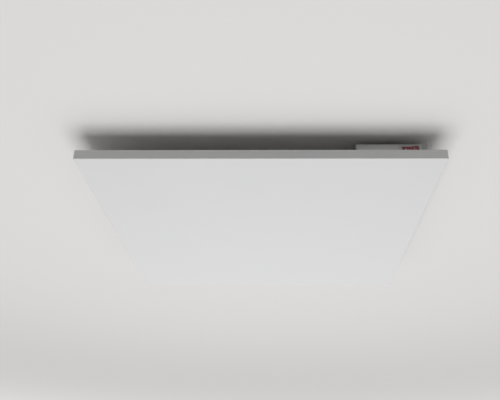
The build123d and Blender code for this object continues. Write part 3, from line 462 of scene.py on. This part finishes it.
def turnedRod(tree, radius, low, high, sides=roundness["rodSides"], tipRadius=None):
    # A rod along Z between two levels; with a tip radius it narrows towards the lower one.
    length = mathNode(tree, "SUBTRACT", high, low)
    sockets = {"Vertices": sides, "Depth": length}
    if tipRadius is None:
        rod = addNode(tree, "GeometryNodeMeshCylinder", {**sockets, "Radius": radius}).outputs[0]
        middle = times(tree, mathNode(tree, "ADD", low, high), 0.5)
        return shifted(tree, rod, vector(tree, z=middle))
    sockets |= {"Radius Bottom": tipRadius, "Radius Top": radius}
    rod = addNode(tree, "GeometryNodeMeshCone", sockets).outputs[0]
    return shifted(tree, rod, vector(tree, z=low))


def woundWire(tree, radius, height, turns, steps, wire, sides):
    # A wire wound upwards round Z from height 0.
    sockets = {"Resolution": steps, "Rotations": turns, "Start Radius": radius, "End Radius": radius,
               "Height": height}
    line = addNode(tree, "GeometryNodeCurveSpiral", sockets).outputs[0]
    sockets = {"Resolution": sides, "Radius": wire}
    section = addNode(tree, "GeometryNodeCurvePrimitiveCircle", sockets).outputs[0]
    return addNode(tree, "GeometryNodeCurveToMesh", {0: line, 1: section, "Fill Caps": True}).outputs[0]


def threadRidge(tree, radius, low, high, pitch, depth):
    height = mathNode(tree, "SUBTRACT", high, low)
    turns = mathNode(tree, "DIVIDE", height, pitch)
    ridge = woundWire(tree, radius, height, turns, roundness["threadSteps"], depth, roundness["threadSides"])
    return shifted(tree, ridge, vector(tree, z=low))


def machineShank(tree, shank, length, height, shape):
    # A blunt threaded shank that reaches a little into the head.
    core, ridge = [times(tree, shank, shape[share]) for share in ("core", "ridge")]
    tip, ridgeEnd, neck = [times(tree, length, -share) for share in (1.0, shape["ridgeEnd"], shape["neck"])]
    rod = turnedRod(tree, core, tip, times(tree, height, shape["root"]), sides=shape["sides"])
    return [rod, threadRidge(tree, core, ridgeEnd, neck, shape["pitch"], ridge)]


def cutAway(tree, body, cutters):
    cut = addNode(tree, "GeometryNodeMeshBoolean", {"Mesh 1": body}, operation="DIFFERENCE", solver="EXACT")
    for cutter in cutters:
        tree.links.new(cutter, cut.inputs["Mesh 2"])
    return cut.outputs[0]


# Each fixing is drawn once, with its seat at height 0. sizes are its tree's inputs. The other numbers are
# counts, or shares of a size, where no mm stands with them.

panShape = dict(
    sizes={"Head Radius": 3.5 * mm, "Head Height": 2.2 * mm, "Shank Radius": 1.45 * mm, "Length": 6.0 * mm},
    crown=0.5, crossLength=1.12, crossWidth=0.22, crossFloor=0.42, crossTop=1.5, bladeFoot=0.45,
    bladeTop=0.7071, root=0.3, core=0.84, ridge=0.20, pitch=0.62, neck=0.1, taper=0.74, pointTop=0.72,
    pointRadius=0.25)


def crossCut(tree, radius, height):
    # Two crossed blades that narrow downwards, to be cut out of a screw's head.
    floor, top = [times(tree, height, panShape[level]) for level in ("crossFloor", "crossTop")]
    sockets = {"Vertices": 4, "Radius Bottom": panShape["bladeFoot"], "Radius Top": panShape["bladeTop"],
               "Depth": mathNode(tree, "SUBTRACT", top, floor)}
    wedge = addNode(tree, "GeometryNodeMeshCone", sockets).outputs[0]
    square = shifted(tree, wedge, turn=(0.0, 0.0, pi / 4))
    wide, thin = [times(tree, radius, panShape[side]) for side in ("crossLength", "crossWidth")]
    lift = vector(tree, z=floor)
    return [shifted(tree, square, lift, scale=vector(tree, *sides, 1.0))
            for sides in ((wide, thin), (thin, wide))]


def panScrew():
    # A cross-recess screw with a pointed end.
    tree, ways, out = newGrowth("panScrew", panShape["sizes"])
    radius, height, shank, length = [ways[label] for label in panShape["sizes"]]
    dome = crownedCap(tree, radius, height, panShape["crown"])
    head = cutAway(tree, dome, crossCut(tree, radius, height))
    core, ridge, pitch, pointRadius = [times(tree, shank, panShape[share])
                                       for share in ("core", "ridge", "pitch", "pointRadius")]
    neck, taper, pointTop = [times(tree, length, -panShape[level]) for level in ("neck", "taper", "pointTop")]
    rod = turnedRod(tree, core, taper, times(tree, height, panShape["root"]))
    point = turnedRod(tree, core, times(tree, length, -1.0), pointTop, tipRadius=pointRadius)
    thread = threadRidge(tree, core, taper, neck, pitch, ridge)
    tree.links.new(joined(tree, [head, rod, point, thread]), out.inputs[0])
    return tree


capShape = dict(
    sizes={"Head Radius": 4.25 * mm, "Head Height": 5.0 * mm, "Socket Width": 4.0 * mm,
           "Shank Radius": 2.5 * mm, "Length": 9.7 * mm},
    segments=96, levels=16, rings=2, teeth=32, bite=-0.045, bandFoot=(-0.45, -0.36), bandTop=(0.34, 0.25),
    rim=(0.34, 0.5), rimIn=-0.07, skin=0.99, socketFloor=0.5, socketTop=1.2, drillRadius=0.46,
    drillFloor=0.36, drillTip=0.1 * mm, root=0.2, core=0.86, ridge=0.16, ridgeEnd=0.96, neck=0.03,
    pitch=0.8 * mm, sides=32)


def capScrew():
    # A hex-socket screw with a knurled band round its head.
    tree, ways, out = newGrowth("capScrew", capShape["sizes"])
    radius, height, width, shank, length = [ways[label] for label in capShape["sizes"]]
    sockets = {"Vertices": capShape["segments"], "Side Segments": capShape["levels"],
               "Fill Segments": capShape["rings"], "Radius": 1.0, "Depth": 1.0}
    drum = addNode(tree, "GeometryNodeMeshCylinder", sockets).outputs[0]
    x, y, z = ownPlace(tree)
    around = times(tree, mathNode(tree, "ARCTAN2", y, x), capShape["teeth"] / pi)
    teeth = times(tree, mathNode(tree, "PINGPONG", around, 1.0), capShape["bite"])
    band = times(tree, *[remap(tree, z, capShape[end]) for end in ("bandFoot", "bandTop")])
    rim = remap(tree, z, capShape["rim"], (0.0, capShape["rimIn"]))
    side = mathNode(tree, "GREATER_THAN", lengthOf(tree, vector(tree, x, y)), capShape["skin"])
    drawnIn = mathNode(tree, "ADD", times(tree, band, teeth), rim)
    swell = mathNode(tree, "ADD", 1.0, times(tree, side, drawnIn))
    across = [times(tree, times(tree, way, radius), swell) for way in (x, y)]
    head = moved(tree, drum, vector(tree, *across, times(tree, mathNode(tree, "ADD", z, 0.5), height)))
    drillFloor, floor, top = [times(tree, height, capShape[level])
                              for level in ("drillFloor", "socketFloor", "socketTop")]
    corner = times(tree, width, 1 / 3 ** 0.5)  # from a hexagon's width across its flats
    socket = turnedRod(tree, corner, floor, top, sides=6)
    drillRadius = times(tree, width, capShape["drillRadius"])
    drill = turnedRod(tree, drillRadius, drillFloor, floor, tipRadius=capShape["drillTip"])
    parts = [cutAway(tree, head, [socket, drill]), *machineShank(tree, shank, length, height, capShape)]
    tree.links.new(joined(tree, parts), out.inputs[0])
    return tree


slottedShape = dict(
    sizes={"Head Radius": 2.0 * mm, "Head Height": 1.6 * mm, "Shank Radius": 1.4 * mm, "Length": 1.0 * mm},
    crown=0.16, slotLength=2.4, slotWidth=0.36,
    root=0.2, core=0.86, ridge=0.14, ridgeEnd=0.94, neck=0.06, pitch=0.5 * mm, sides=24)


def slottedScrew():
    # A slotted cheese-head screw with a blunt end.
    tree, ways, out = newGrowth("slottedScrew", slottedShape["sizes"])
    radius, height, shank, length = [ways[label] for label in slottedShape["sizes"]]
    head = crownedCap(tree, radius, height, slottedShape["crown"])
    cube = addNode(tree, "GeometryNodeMeshCube", {"Size": (1.0, 1.0, 1.0)}).outputs[0]
    wide, thin = [times(tree, radius, slottedShape[side]) for side in ("slotLength", "slotWidth")]
    slot = shifted(tree, cube, vector(tree, z=height), scale=vector(tree, wide, thin, height))
    parts = [cutAway(tree, head, [slot]), *machineShank(tree, shank, length, height, slottedShape)]
    tree.links.new(joined(tree, parts), out.inputs[0])
    return tree


rivetShape = dict(
    sizes={"Head Radius": 3.2 * mm, "Head Height": 1.1 * mm, "Shank Radius": 1.6 * mm, "Length": 4.0 * mm,
           "Grip": 1.8 * mm},
    crown=0.62, dent={"from": (0.24, 0.36), "depth": 0.6}, mandrelRadius=0.2, mandrelTop=0.62, root=0.2,
    bulbRadius=1.4, bulbCrown=0.5)


def pulledRivet():
    # A blind rivet: a dished dome, the broken mandrel and the bulb behind the sheet.
    tree, ways, out = newGrowth("pulledRivet", rivetShape["sizes"])
    radius, height, shank, length, grip = [ways[label] for label in rivetShape["sizes"]]
    dome = crownedCap(tree, radius, height, rivetShape["crown"], rivetShape["dent"])
    root, mandrelTop = [times(tree, height, rivetShape[level]) for level in ("root", "mandrelTop")]
    stub = turnedRod(tree, times(tree, radius, rivetShape["mandrelRadius"]), 0.0, mandrelTop)
    behind = times(tree, grip, -1.0)
    rod = turnedRod(tree, shank, behind, root)
    reach = mathNode(tree, "SUBTRACT", length, grip)
    bulb = crownedCap(tree, times(tree, shank, rivetShape["bulbRadius"]), reach, rivetShape["bulbCrown"])
    bulb = shifted(tree, bulb, vector(tree, z=behind), turn=(pi, 0.0, 0.0))
    tree.links.new(joined(tree, [dome, stub, rod, bulb]), out.inputs[0])
    return tree


screwTree, rivetTree, capTree, slottedTree = panScrew(), pulledRivet(), capScrew(), slottedScrew()


def oneOf(tree, fixing, sizes):
    node = addNode(tree, "GeometryNodeGroup", node_tree=fixing)
    for label, value in sizes.items():
        node.inputs[label].default_value = value
    return node.outputs[0]


def setOut(tree, spots, fixing, seed=None):
    # Puts one fixing on each spot, turned about its own axis by a seeded angle where a seed is given.
    sockets = {"Points": spots, "Instance": fixing}
    if seed is not None:
        turn = addNode(tree, "FunctionNodeRandomValue", {"Max": 2 * pi, "Seed": seed}, data_type="FLOAT")
        value = next(way for way in turn.outputs if way.enabled and way.type == "VALUE")
        sockets["Rotation"] = vector(tree, z=value)
    return addNode(tree, "GeometryNodeInstanceOnPoints", sockets).outputs[0]


def grid(tree, across, along, columns, rows, place):
    sockets = {"Size X": across, "Size Y": along, "Vertices X": columns, "Vertices Y": rows}
    return shifted(tree, addNode(tree, "GeometryNodeMeshGrid", sockets).outputs[0], place)


def plainMesh(carrier, name):
    # The carrier's evaluated shape as a mesh of its own; the carrier goes, with its modifiers.
    mesh = bpy.data.meshes.new_from_object(carrier.evaluated_get(bpy.context.evaluated_depsgraph_get()))
    bpy.data.objects.remove(carrier)
    mesh.name = name
    return mesh


def newObject(name, data):
    thing = bpy.data.objects.new(name, data)
    bpy.context.scene.collection.objects.link(thing)
    return thing


def standFor(name, mesh, body, slot, *replaced):
    mesh.materials.clear()
    mesh.materials.append(finishOf(slot))
    mesh.polygons.foreach_set("material_index", [0] * len(mesh.polygons))
    piece = newObject(name, mesh)
    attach(piece, body)
    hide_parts(*replaced)


def growPiece(name, body, node, settings, build):
    # Builds the piece's tree around its own geometry and lets the result stand for the CAD node.
    inputs = {**settings["inputs"], "Finish": None}
    tree, ways, out = newGrowth(name, inputs)
    soft = smoothed(tree, build(tree, ways))
    real = addNode(tree, "GeometryNodeRealizeInstances", {0: soft}).outputs[0]
    painted = addNode(tree, "GeometryNodeSetMaterial", {"Geometry": real, "Material": ways["Finish"]})
    tree.links.new(painted.outputs[0], out.inputs[0])
    carrier = newObject(name, bpy.data.meshes.new(name))
    modifier = carrier.modifiers.new("growth", "NODES")
    modifier.node_group = tree
    inputs["Finish"] = finishOf(slotOf[node])
    for item in tree.interface.items_tree:
        if item.in_out == "INPUT":
            modifier[item.identifier] = inputs[item.name]
    standFor(name, plainMesh(carrier, name), body, slotOf[node], node)


coverScrews = dict(inputs={"Span": 584.0 * mm, "Per Side": 6, "Seed": 3}, level=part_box("back_cover")[1][2],
                   inner=0.49)


def coverScrewRows(tree, ways):
    # A square net of places, of which only the outline keeps its screws.
    span, count = ways["Span"], ways["Per Side"]
    spots = grid(tree, span, span, count, count, (0.0, 0.0, coverScrews["level"]))
    x, y, _ = ownPlace(tree)
    outward = mathNode(tree, "MAXIMUM", mathNode(tree, "ABSOLUTE", x), mathNode(tree, "ABSOLUTE", y))
    inside = mathNode(tree, "LESS_THAN", outward, times(tree, span, coverScrews["inner"]))
    rim = addNode(tree, "GeometryNodeDeleteGeometry", {"Geometry": spots, "Selection": inside}).outputs[0]
    return setOut(tree, rim, oneOf(tree, screwTree, {}), ways["Seed"])


barRivets = dict(inputs={"Span": 500.0 * mm, "Pair Span": 56.0 * mm, "Columns": 6}, level=-31.5 * mm,
                 rowOffset=150.0 * mm)


def barRivetRows(tree, ways):
    places = [(0.0, side * barRivets["rowOffset"], barRivets["level"]) for side in (-1, 1)]
    rows = [grid(tree, ways["Span"], ways["Pair Span"], ways["Columns"], 2, place) for place in places]
    return setOut(tree, joined(tree, rows), oneOf(tree, rivetTree, {}))


boxScrews = dict(
    inputs={"Across": 105.0 * mm, "Along": 54.0 * mm, "Seed": 8},
    centre=(217.8 * mm, -245.0 * mm, -10.7 * mm),
    sizes={"Head Radius": 2.8 * mm, "Head Height": 1.6 * mm, "Shank Radius": 1.4 * mm, "Length": 10.0 * mm})


def boxScrewSet(tree, ways):
    corners = grid(tree, ways["Across"], ways["Along"], 2, 2, boxScrews["centre"])
    return setOut(tree, corners, oneOf(tree, screwTree, boxScrews["sizes"]), ways["Seed"])


baseScrews = dict(
    inputs={"Level": -30.7 * mm},
    places=((165.3, -245.0, 0.4), (270.3, -245.0, 1.1), (217.8, -272.0, 2.3)),  # x, y and turn
    sizes={"Head Radius": 3.2 * mm, "Head Height": 2.0 * mm, "Shank Radius": 1.4 * mm, "Length": 6.0 * mm})
blockScrew = dict(
    place=(192.0 * mm, -236.0 * mm, -27.7 * mm), turn=0.7,
    sizes={"Head Radius": 2.1 * mm, "Head Height": 1.6 * mm, "Shank Radius": 1.4 * mm, "Length": 4.8 * mm})


def baseScrewSet(tree, ways):
    # Three hold the box's base down and a slotted one holds the terminal block.
    screw = oneOf(tree, screwTree, baseScrews["sizes"])
    parts = [shifted(tree, screw, vector(tree, x * mm, y * mm, ways["Level"]), turn=(0.0, 0.0, turn))
             for x, y, turn in baseScrews["places"]]
    slotted = oneOf(tree, slottedTree, blockScrew["sizes"])
    parts.append(shifted(tree, slotted, blockScrew["place"], turn=(0.0, 0.0, blockScrew["turn"])))
    return joined(tree, parts)


terminalScrews = dict(inputs={"Pitch": 10.0 * mm, "Gap": 10.0 * mm, "Seed": 5}, columns=3, rows=2,
                      centre=(187.0 * mm, -236.0 * mm, -22.3 * mm))


def terminalScrewSet(tree, ways):
    columns, rows = terminalScrews["columns"], terminalScrews["rows"]
    across = times(tree, ways["Pitch"], columns - 1.0)
    spots = grid(tree, across, ways["Gap"], columns, rows, terminalScrews["centre"])
    return setOut(tree, spots, oneOf(tree, slottedTree, {}), ways["Seed"])


lockScrews = dict(inputs={"Face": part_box("far_lock_bracket")[1][1], "Drop": 8.0 * mm})


def lockScrewPair(tree, ways):
    # One on each rail's outer side, its head outward.
    screw = oneOf(tree, capTree, {})
    level = times(tree, ways["Drop"], -1.0)
    return joined(tree, [shifted(tree, screw, vector(tree, 0.0, times(tree, ways["Face"], side), level),
                                 turn=(-side * pi / 2, 0.0, 0.0)) for side in (-1, 1)])


rockerPivot = joints["rocker_tilt"]["pos_m"]
rockerTilt = -radians(joints["rocker_tilt"]["range_deg"][1] / 2)  # at rest it leans by half its range
plungerSpring = dict(
    inputs={"Turns": 6.0, "Radius": 1.08 * mm, "Wire": 0.2 * mm, "Length": 4.0 * mm},
    start=7.4 * mm, steps=32, sides=12)


def plungerCoil(tree, ways):
    # It lies in the rocker's stem and turns with it.
    free = mathNode(tree, "SUBTRACT", ways["Length"], times(tree, ways["Wire"], 2.0))
    coil = woundWire(tree, ways["Radius"], free, ways["Turns"], plungerSpring["steps"], ways["Wire"],
                     plungerSpring["sides"])
    start = mathNode(tree, "ADD", ways["Wire"], plungerSpring["start"])
    lying = shifted(tree, shifted(tree, coil, vector(tree, z=start)), turn=(-pi / 2, 0.0, 0.0))
    return shifted(tree, lying, rockerPivot, turn=(0.0, 0.0, rockerTilt))


growPiece("coverScrewSet", "panel", "cover_screws", coverScrews, coverScrewRows)
growPiece("barRivetRows", "panel", "bar_rivets", barRivets, barRivetRows)
growPiece("boxScrewSet", "panel", "box_screws", boxScrews, boxScrewSet)
growPiece("baseScrewSet", "panel", "base_screws", baseScrews, baseScrewSet)
growPiece("terminalScrewSet", "panel", "terminal_screws", terminalScrews, terminalScrewSet)
growPiece("lockScrewPair", "panel", "lock_screws", lockScrews, lockScrewPair)
growPiece("plungerCoil", "rocker", "plunger_spring", plungerSpring, plungerCoil)
print("stage: screws, rivets and spring grown")


# Pieces whose moulded or cut edges are broken where they are sharper than angle. merge and flat say what
# is joined in their copies first. The widths are in millimetres.

edgeBreak = dict(segments=3, angle=radians(32), merge=0.002 * mm, flat=radians(0.5))
edgeWidths = {
    "panel": {"gland_body": 0.3, "gland_locknut": 0.3, "hanger_studs": 0.35, "stud_nuts": 0.3,
              "lock_nuts": 0.25, "near_lock_bracket": 0.2, "far_lock_bracket": 0.2, "switch_housing": 0.15,
              "near_hanger_bar": 0.15, "far_hanger_bar": 0.15, "terminal_inserts": 0.12,
              "earth_nut_and_washer": 0.2, "insulation_board": 0.4, "pressing_pads": 0.3,
              "lead_grommet": 0.25, "gland_seal": 0.25},
    "rails": {"near_ceiling_rail": 0.2, "far_ceiling_rail": 0.2},
    "rocker": {"switch_rocker": 0.1},
}


def mergedCopy(node):
    form = bmesh.new()
    form.from_mesh(nodes[node].data)
    bmesh.ops.remove_doubles(form, verts=form.verts, dist=edgeBreak["merge"])
    bmesh.ops.dissolve_limit(form, angle_limit=edgeBreak["flat"], verts=form.verts, edges=form.edges)
    for item in (*form.faces, *form.edges):
        item.smooth = True
    mesh = bpy.data.meshes.new(node)
    form.to_mesh(mesh)
    form.free()
    if "custom_normal" in mesh.attributes:
        mesh.attributes.remove(mesh.attributes["custom_normal"])
    return mesh


def breakEdges(node, body, width):
    name = camelName(node) + "Soft"
    carrier = newObject(name, mergedCopy(node))
    bevel = carrier.modifiers.new("brokenEdges", "BEVEL")
    bevel.width, bevel.segments, bevel.angle_limit = width, edgeBreak["segments"], edgeBreak["angle"]
    bevel.limit_method, bevel.harden_normals, bevel.use_clamp_overlap = "ANGLE", True, False
    standFor(name, plainMesh(carrier, name), body, slotOf[node], node)


for body, widths in edgeWidths.items():
    for node, width in widths.items():
        breakEdges(node, body, width * mm)
print("stage: edges broken on", sum(len(widths) for widths in edgeWidths.values()), "pieces")


# In millimetres: reach is from the rocker's pivot to each mark and face to the floor of its hollow face,
# hollow that face's radius, high and wide half a mark's size, and bead its radius before it is pressed.

rockerMarks = dict(reach=7.0, face=3.0, hollow=81.8, high=1.7, wide=1.05, bead=0.30, pressed=0.5,
                   ringSteps=32, barSteps=8, beadRounds=3)


def onRockerFace(x, z):
    return Vector((x, -rockerMarks["face"] - x * x / (2 * rockerMarks["hollow"]), z)) * mm


def mouldRockerMarks():
    # A raised ring at one end of the rocker and a bar at the other, on its hollow face.
    reach, high, wide = rockerMarks["reach"], rockerMarks["high"], rockerMarks["wide"]
    ringSteps, barSteps = rockerMarks["ringSteps"], rockerMarks["barSteps"]
    turns = [2 * pi * step / ringSteps for step in range(ringSteps)]
    ring = [onRockerFace(wide * cos(turn) - reach, high * sin(turn)) for turn in turns]
    bar = [onRockerFace(reach, high * (2 * step / barSteps - 1)) for step in range(barSteps + 1)]
    line = bpy.data.curves.new("rockerMarks", "CURVE")
    line.dimensions, line.use_fill_caps = "3D", True
    line.bevel_depth, line.bevel_resolution = rockerMarks["bead"] * mm, rockerMarks["beadRounds"]
    for points, closed in ((ring, True), (bar, False)):
        spline = line.splines.new("POLY")
        spline.points.add(len(points) - 1)
        for point, place in zip(spline.points, points):
            point.co = (*place, 1.0)
        spline.use_cyclic_u = closed
    mesh = plainMesh(newObject("rockerMarks", line), "rockerMarks")
    for vertex in mesh.vertices:  # the beads are pressed into the face
        depth = onRockerFace(vertex.co.x / mm, 0.0).y
        vertex.co.y = depth + (vertex.co.y - depth) * rockerMarks["pressed"]
    mesh.transform(Matrix.Translation(rockerPivot) @ Matrix.Rotation(rockerTilt, 4, "Z"))
    mesh.shade_smooth()
    standFor("rockerMarks", mesh, "rocker", "plate_film")


mouldRockerMarks()
print("stage: rocker marks moulded")


# The ceiling, the light and the camera. daylight gives the room's level towards the near side, the far
# side, left and right, and above. The lamps shine at the origin. In lens, turn is in degrees, and focal
# and sensor in millimetres.

ceiling = dict(size=16.0, height=0.3 * mm, colour=(0.80, 0.79, 0.775, 1.0), grain=300.0, relief=0.05 * mm,
               fade=(1.1, 4.2))
daylight = dict(near=0.02, far=0.47, turn=0.7, sides=0.33, above=0.85, horizon=0.02,
                backdrop=(0.86, 0.86, 0.855, 1.0))
lamps = {
    "softDaylight": dict(kind="SUN", place=(0.0, 1.0, -1.3), angle=radians(60), energy=0.70),
    "floorGlow": dict(kind="AREA", place=(0.0, 0.0, -2.4), shape="SQUARE", size=2.5, energy=33.0),
    "farWindow": dict(kind="AREA", place=(0.0, 5.0, -1.6), shape="RECTANGLE", size=5.0, size_y=1.6,
                      energy=18.0, diffuse=False),
}
lens = dict(place=(0.03827, -1.13159, -0.55183), turn=(117.2101, -0.8188, 1.4583), focal=43.831,
            sensor=36.0, shift=-0.03077)


def anyOf(tree, rays):
    first, *rest = rays
    for ray in rest:
        first = mathNode(tree, "MAXIMUM", first, ray)
    return first


def ceilingPlaster():
    material = bpy.data.materials.new("ceilingPlaster")
    material.use_nodes = True
    tree = material.node_tree
    tree.nodes.clear()
    place = addNode(tree, "ShaderNodeTexCoord").outputs["Object"]
    plaster = noise(tree, place, ceiling["grain"], detail=4.0, roughness=0.6)
    bump = addNode(tree, "ShaderNodeBump", {"Height": plaster, "Distance": ceiling["relief"]}).outputs[0]
    paint = addNode(tree, "ShaderNodeBsdfDiffuse", {"Color": ceiling["colour"], "Normal": bump}).outputs[0]
    path = addNode(tree, "ShaderNodeLightPath").outputs
    # Far out it fades into the backdrop, for the camera alone.
    fade = remap(tree, lengthOf(tree, place), ceiling["fade"], interpolation_type="SMOOTHSTEP")
    faded = times(tree, fade, path["Is Camera Ray"])
    distance = addNode(tree, "ShaderNodeEmission", {"Color": daylight["backdrop"]}).outputs[0]
    seen = addNode(tree, "ShaderNodeMixShader", {0: faded, 1: paint, 2: distance}).outputs[0]
    # From above it is clear, for the camera and for the light that such a view needs.
    clear = addNode(tree, "ShaderNodeBsdfTransparent").outputs[0]
    above = addNode(tree, "ShaderNodeNewGeometry").outputs["Backfacing"]
    opened = anyOf(tree, [above, mathNode(tree, "GREATER_THAN", path["Transparent Depth"], 0.5)])
    mix = addNode(tree, "ShaderNodeMixShader", {0: opened, 1: seen, 2: clear}).outputs[0]
    addNode(tree, "ShaderNodeOutputMaterial", {"Surface": mix})
    return material


def hangCeiling():
    half = ceiling["size"] / 2
    mesh = bpy.data.meshes.new("ceiling")
    corners = [(-half, -half), (-half, half), (half, half), (half, -half)]
    mesh.from_pydata([(x, y, ceiling["height"]) for x, y in corners], [], [(0, 1, 2, 3)])
    mesh.materials.append(ceilingPlaster())
    newObject("ceiling", mesh)


def lightWorld():
    world = bpy.data.worlds.new("room")
    bpy.context.scene.world = world
    world.use_nodes = True
    tree = world.node_tree
    tree.nodes.clear()
    path = addNode(tree, "ShaderNodeLightPath").outputs
    x, y, z = apart(tree, addNode(tree, "ShaderNodeTexCoord").outputs["Generated"])
    low = remap(tree, y, (-daylight["turn"], daylight["turn"]), (daylight["near"], daylight["far"]))
    low = mathNode(tree, "MULTIPLY_ADD", mathNode(tree, "ABSOLUTE", x), daylight["sides"], low)
    share = remap(tree, z, (-daylight["horizon"], daylight["horizon"]))
    level = addNode(tree, "ShaderNodeMix", {0: share, 2: low, 3: daylight["above"]}).outputs[0]
    room = addNode(tree, "ShaderNodeBackground", {"Strength": level}).outputs[0]
    seen = addNode(tree, "ShaderNodeBackground", {"Color": daylight["backdrop"]}).outputs[0]
    shown = anyOf(tree, [path[ray] for ray in ("Is Camera Ray", "Is Glossy Ray", "Is Transmission Ray")])
    mix = addNode(tree, "ShaderNodeMixShader", {0: shown, 1: room, 2: seen}).outputs[0]
    addNode(tree, "ShaderNodeOutputWorld", {"Surface": mix})
    world.cycles.sampling_method = "NONE"  # diffuse rays find the daylight, glossy rays the backdrop


def hangLamp(name, lamp):
    data = bpy.data.lights.new(name, lamp["kind"])
    for setting in ("shape", "size", "size_y", "angle", "energy"):
        if setting in lamp:
            setattr(data, setting, lamp[setting])
    light = newObject(name, data)
    light.location = lamp["place"]
    light.rotation_euler = (Vector() - light.location).to_track_quat("-Z", "Y").to_euler()
    light.visible_camera = False
    light.visible_diffuse = lamp.get("diffuse", True)


def placeCamera():
    data = bpy.data.cameras.new("photographView")
    data.lens, data.shift_x, data.sensor_width = lens["focal"], lens["shift"], lens["sensor"]
    camera = newObject("photographView", data)
    camera.location = lens["place"]
    camera.rotation_euler = [radians(angle) for angle in lens["turn"]]
    bpy.context.scene.camera = camera


hangCeiling()
lightWorld()
for name, lamp in lamps.items():
    hangLamp(name, lamp)
placeCamera()
bpy.context.scene.view_settings.view_transform = "Standard"
print("stage: ceiling, lamps and camera placed")
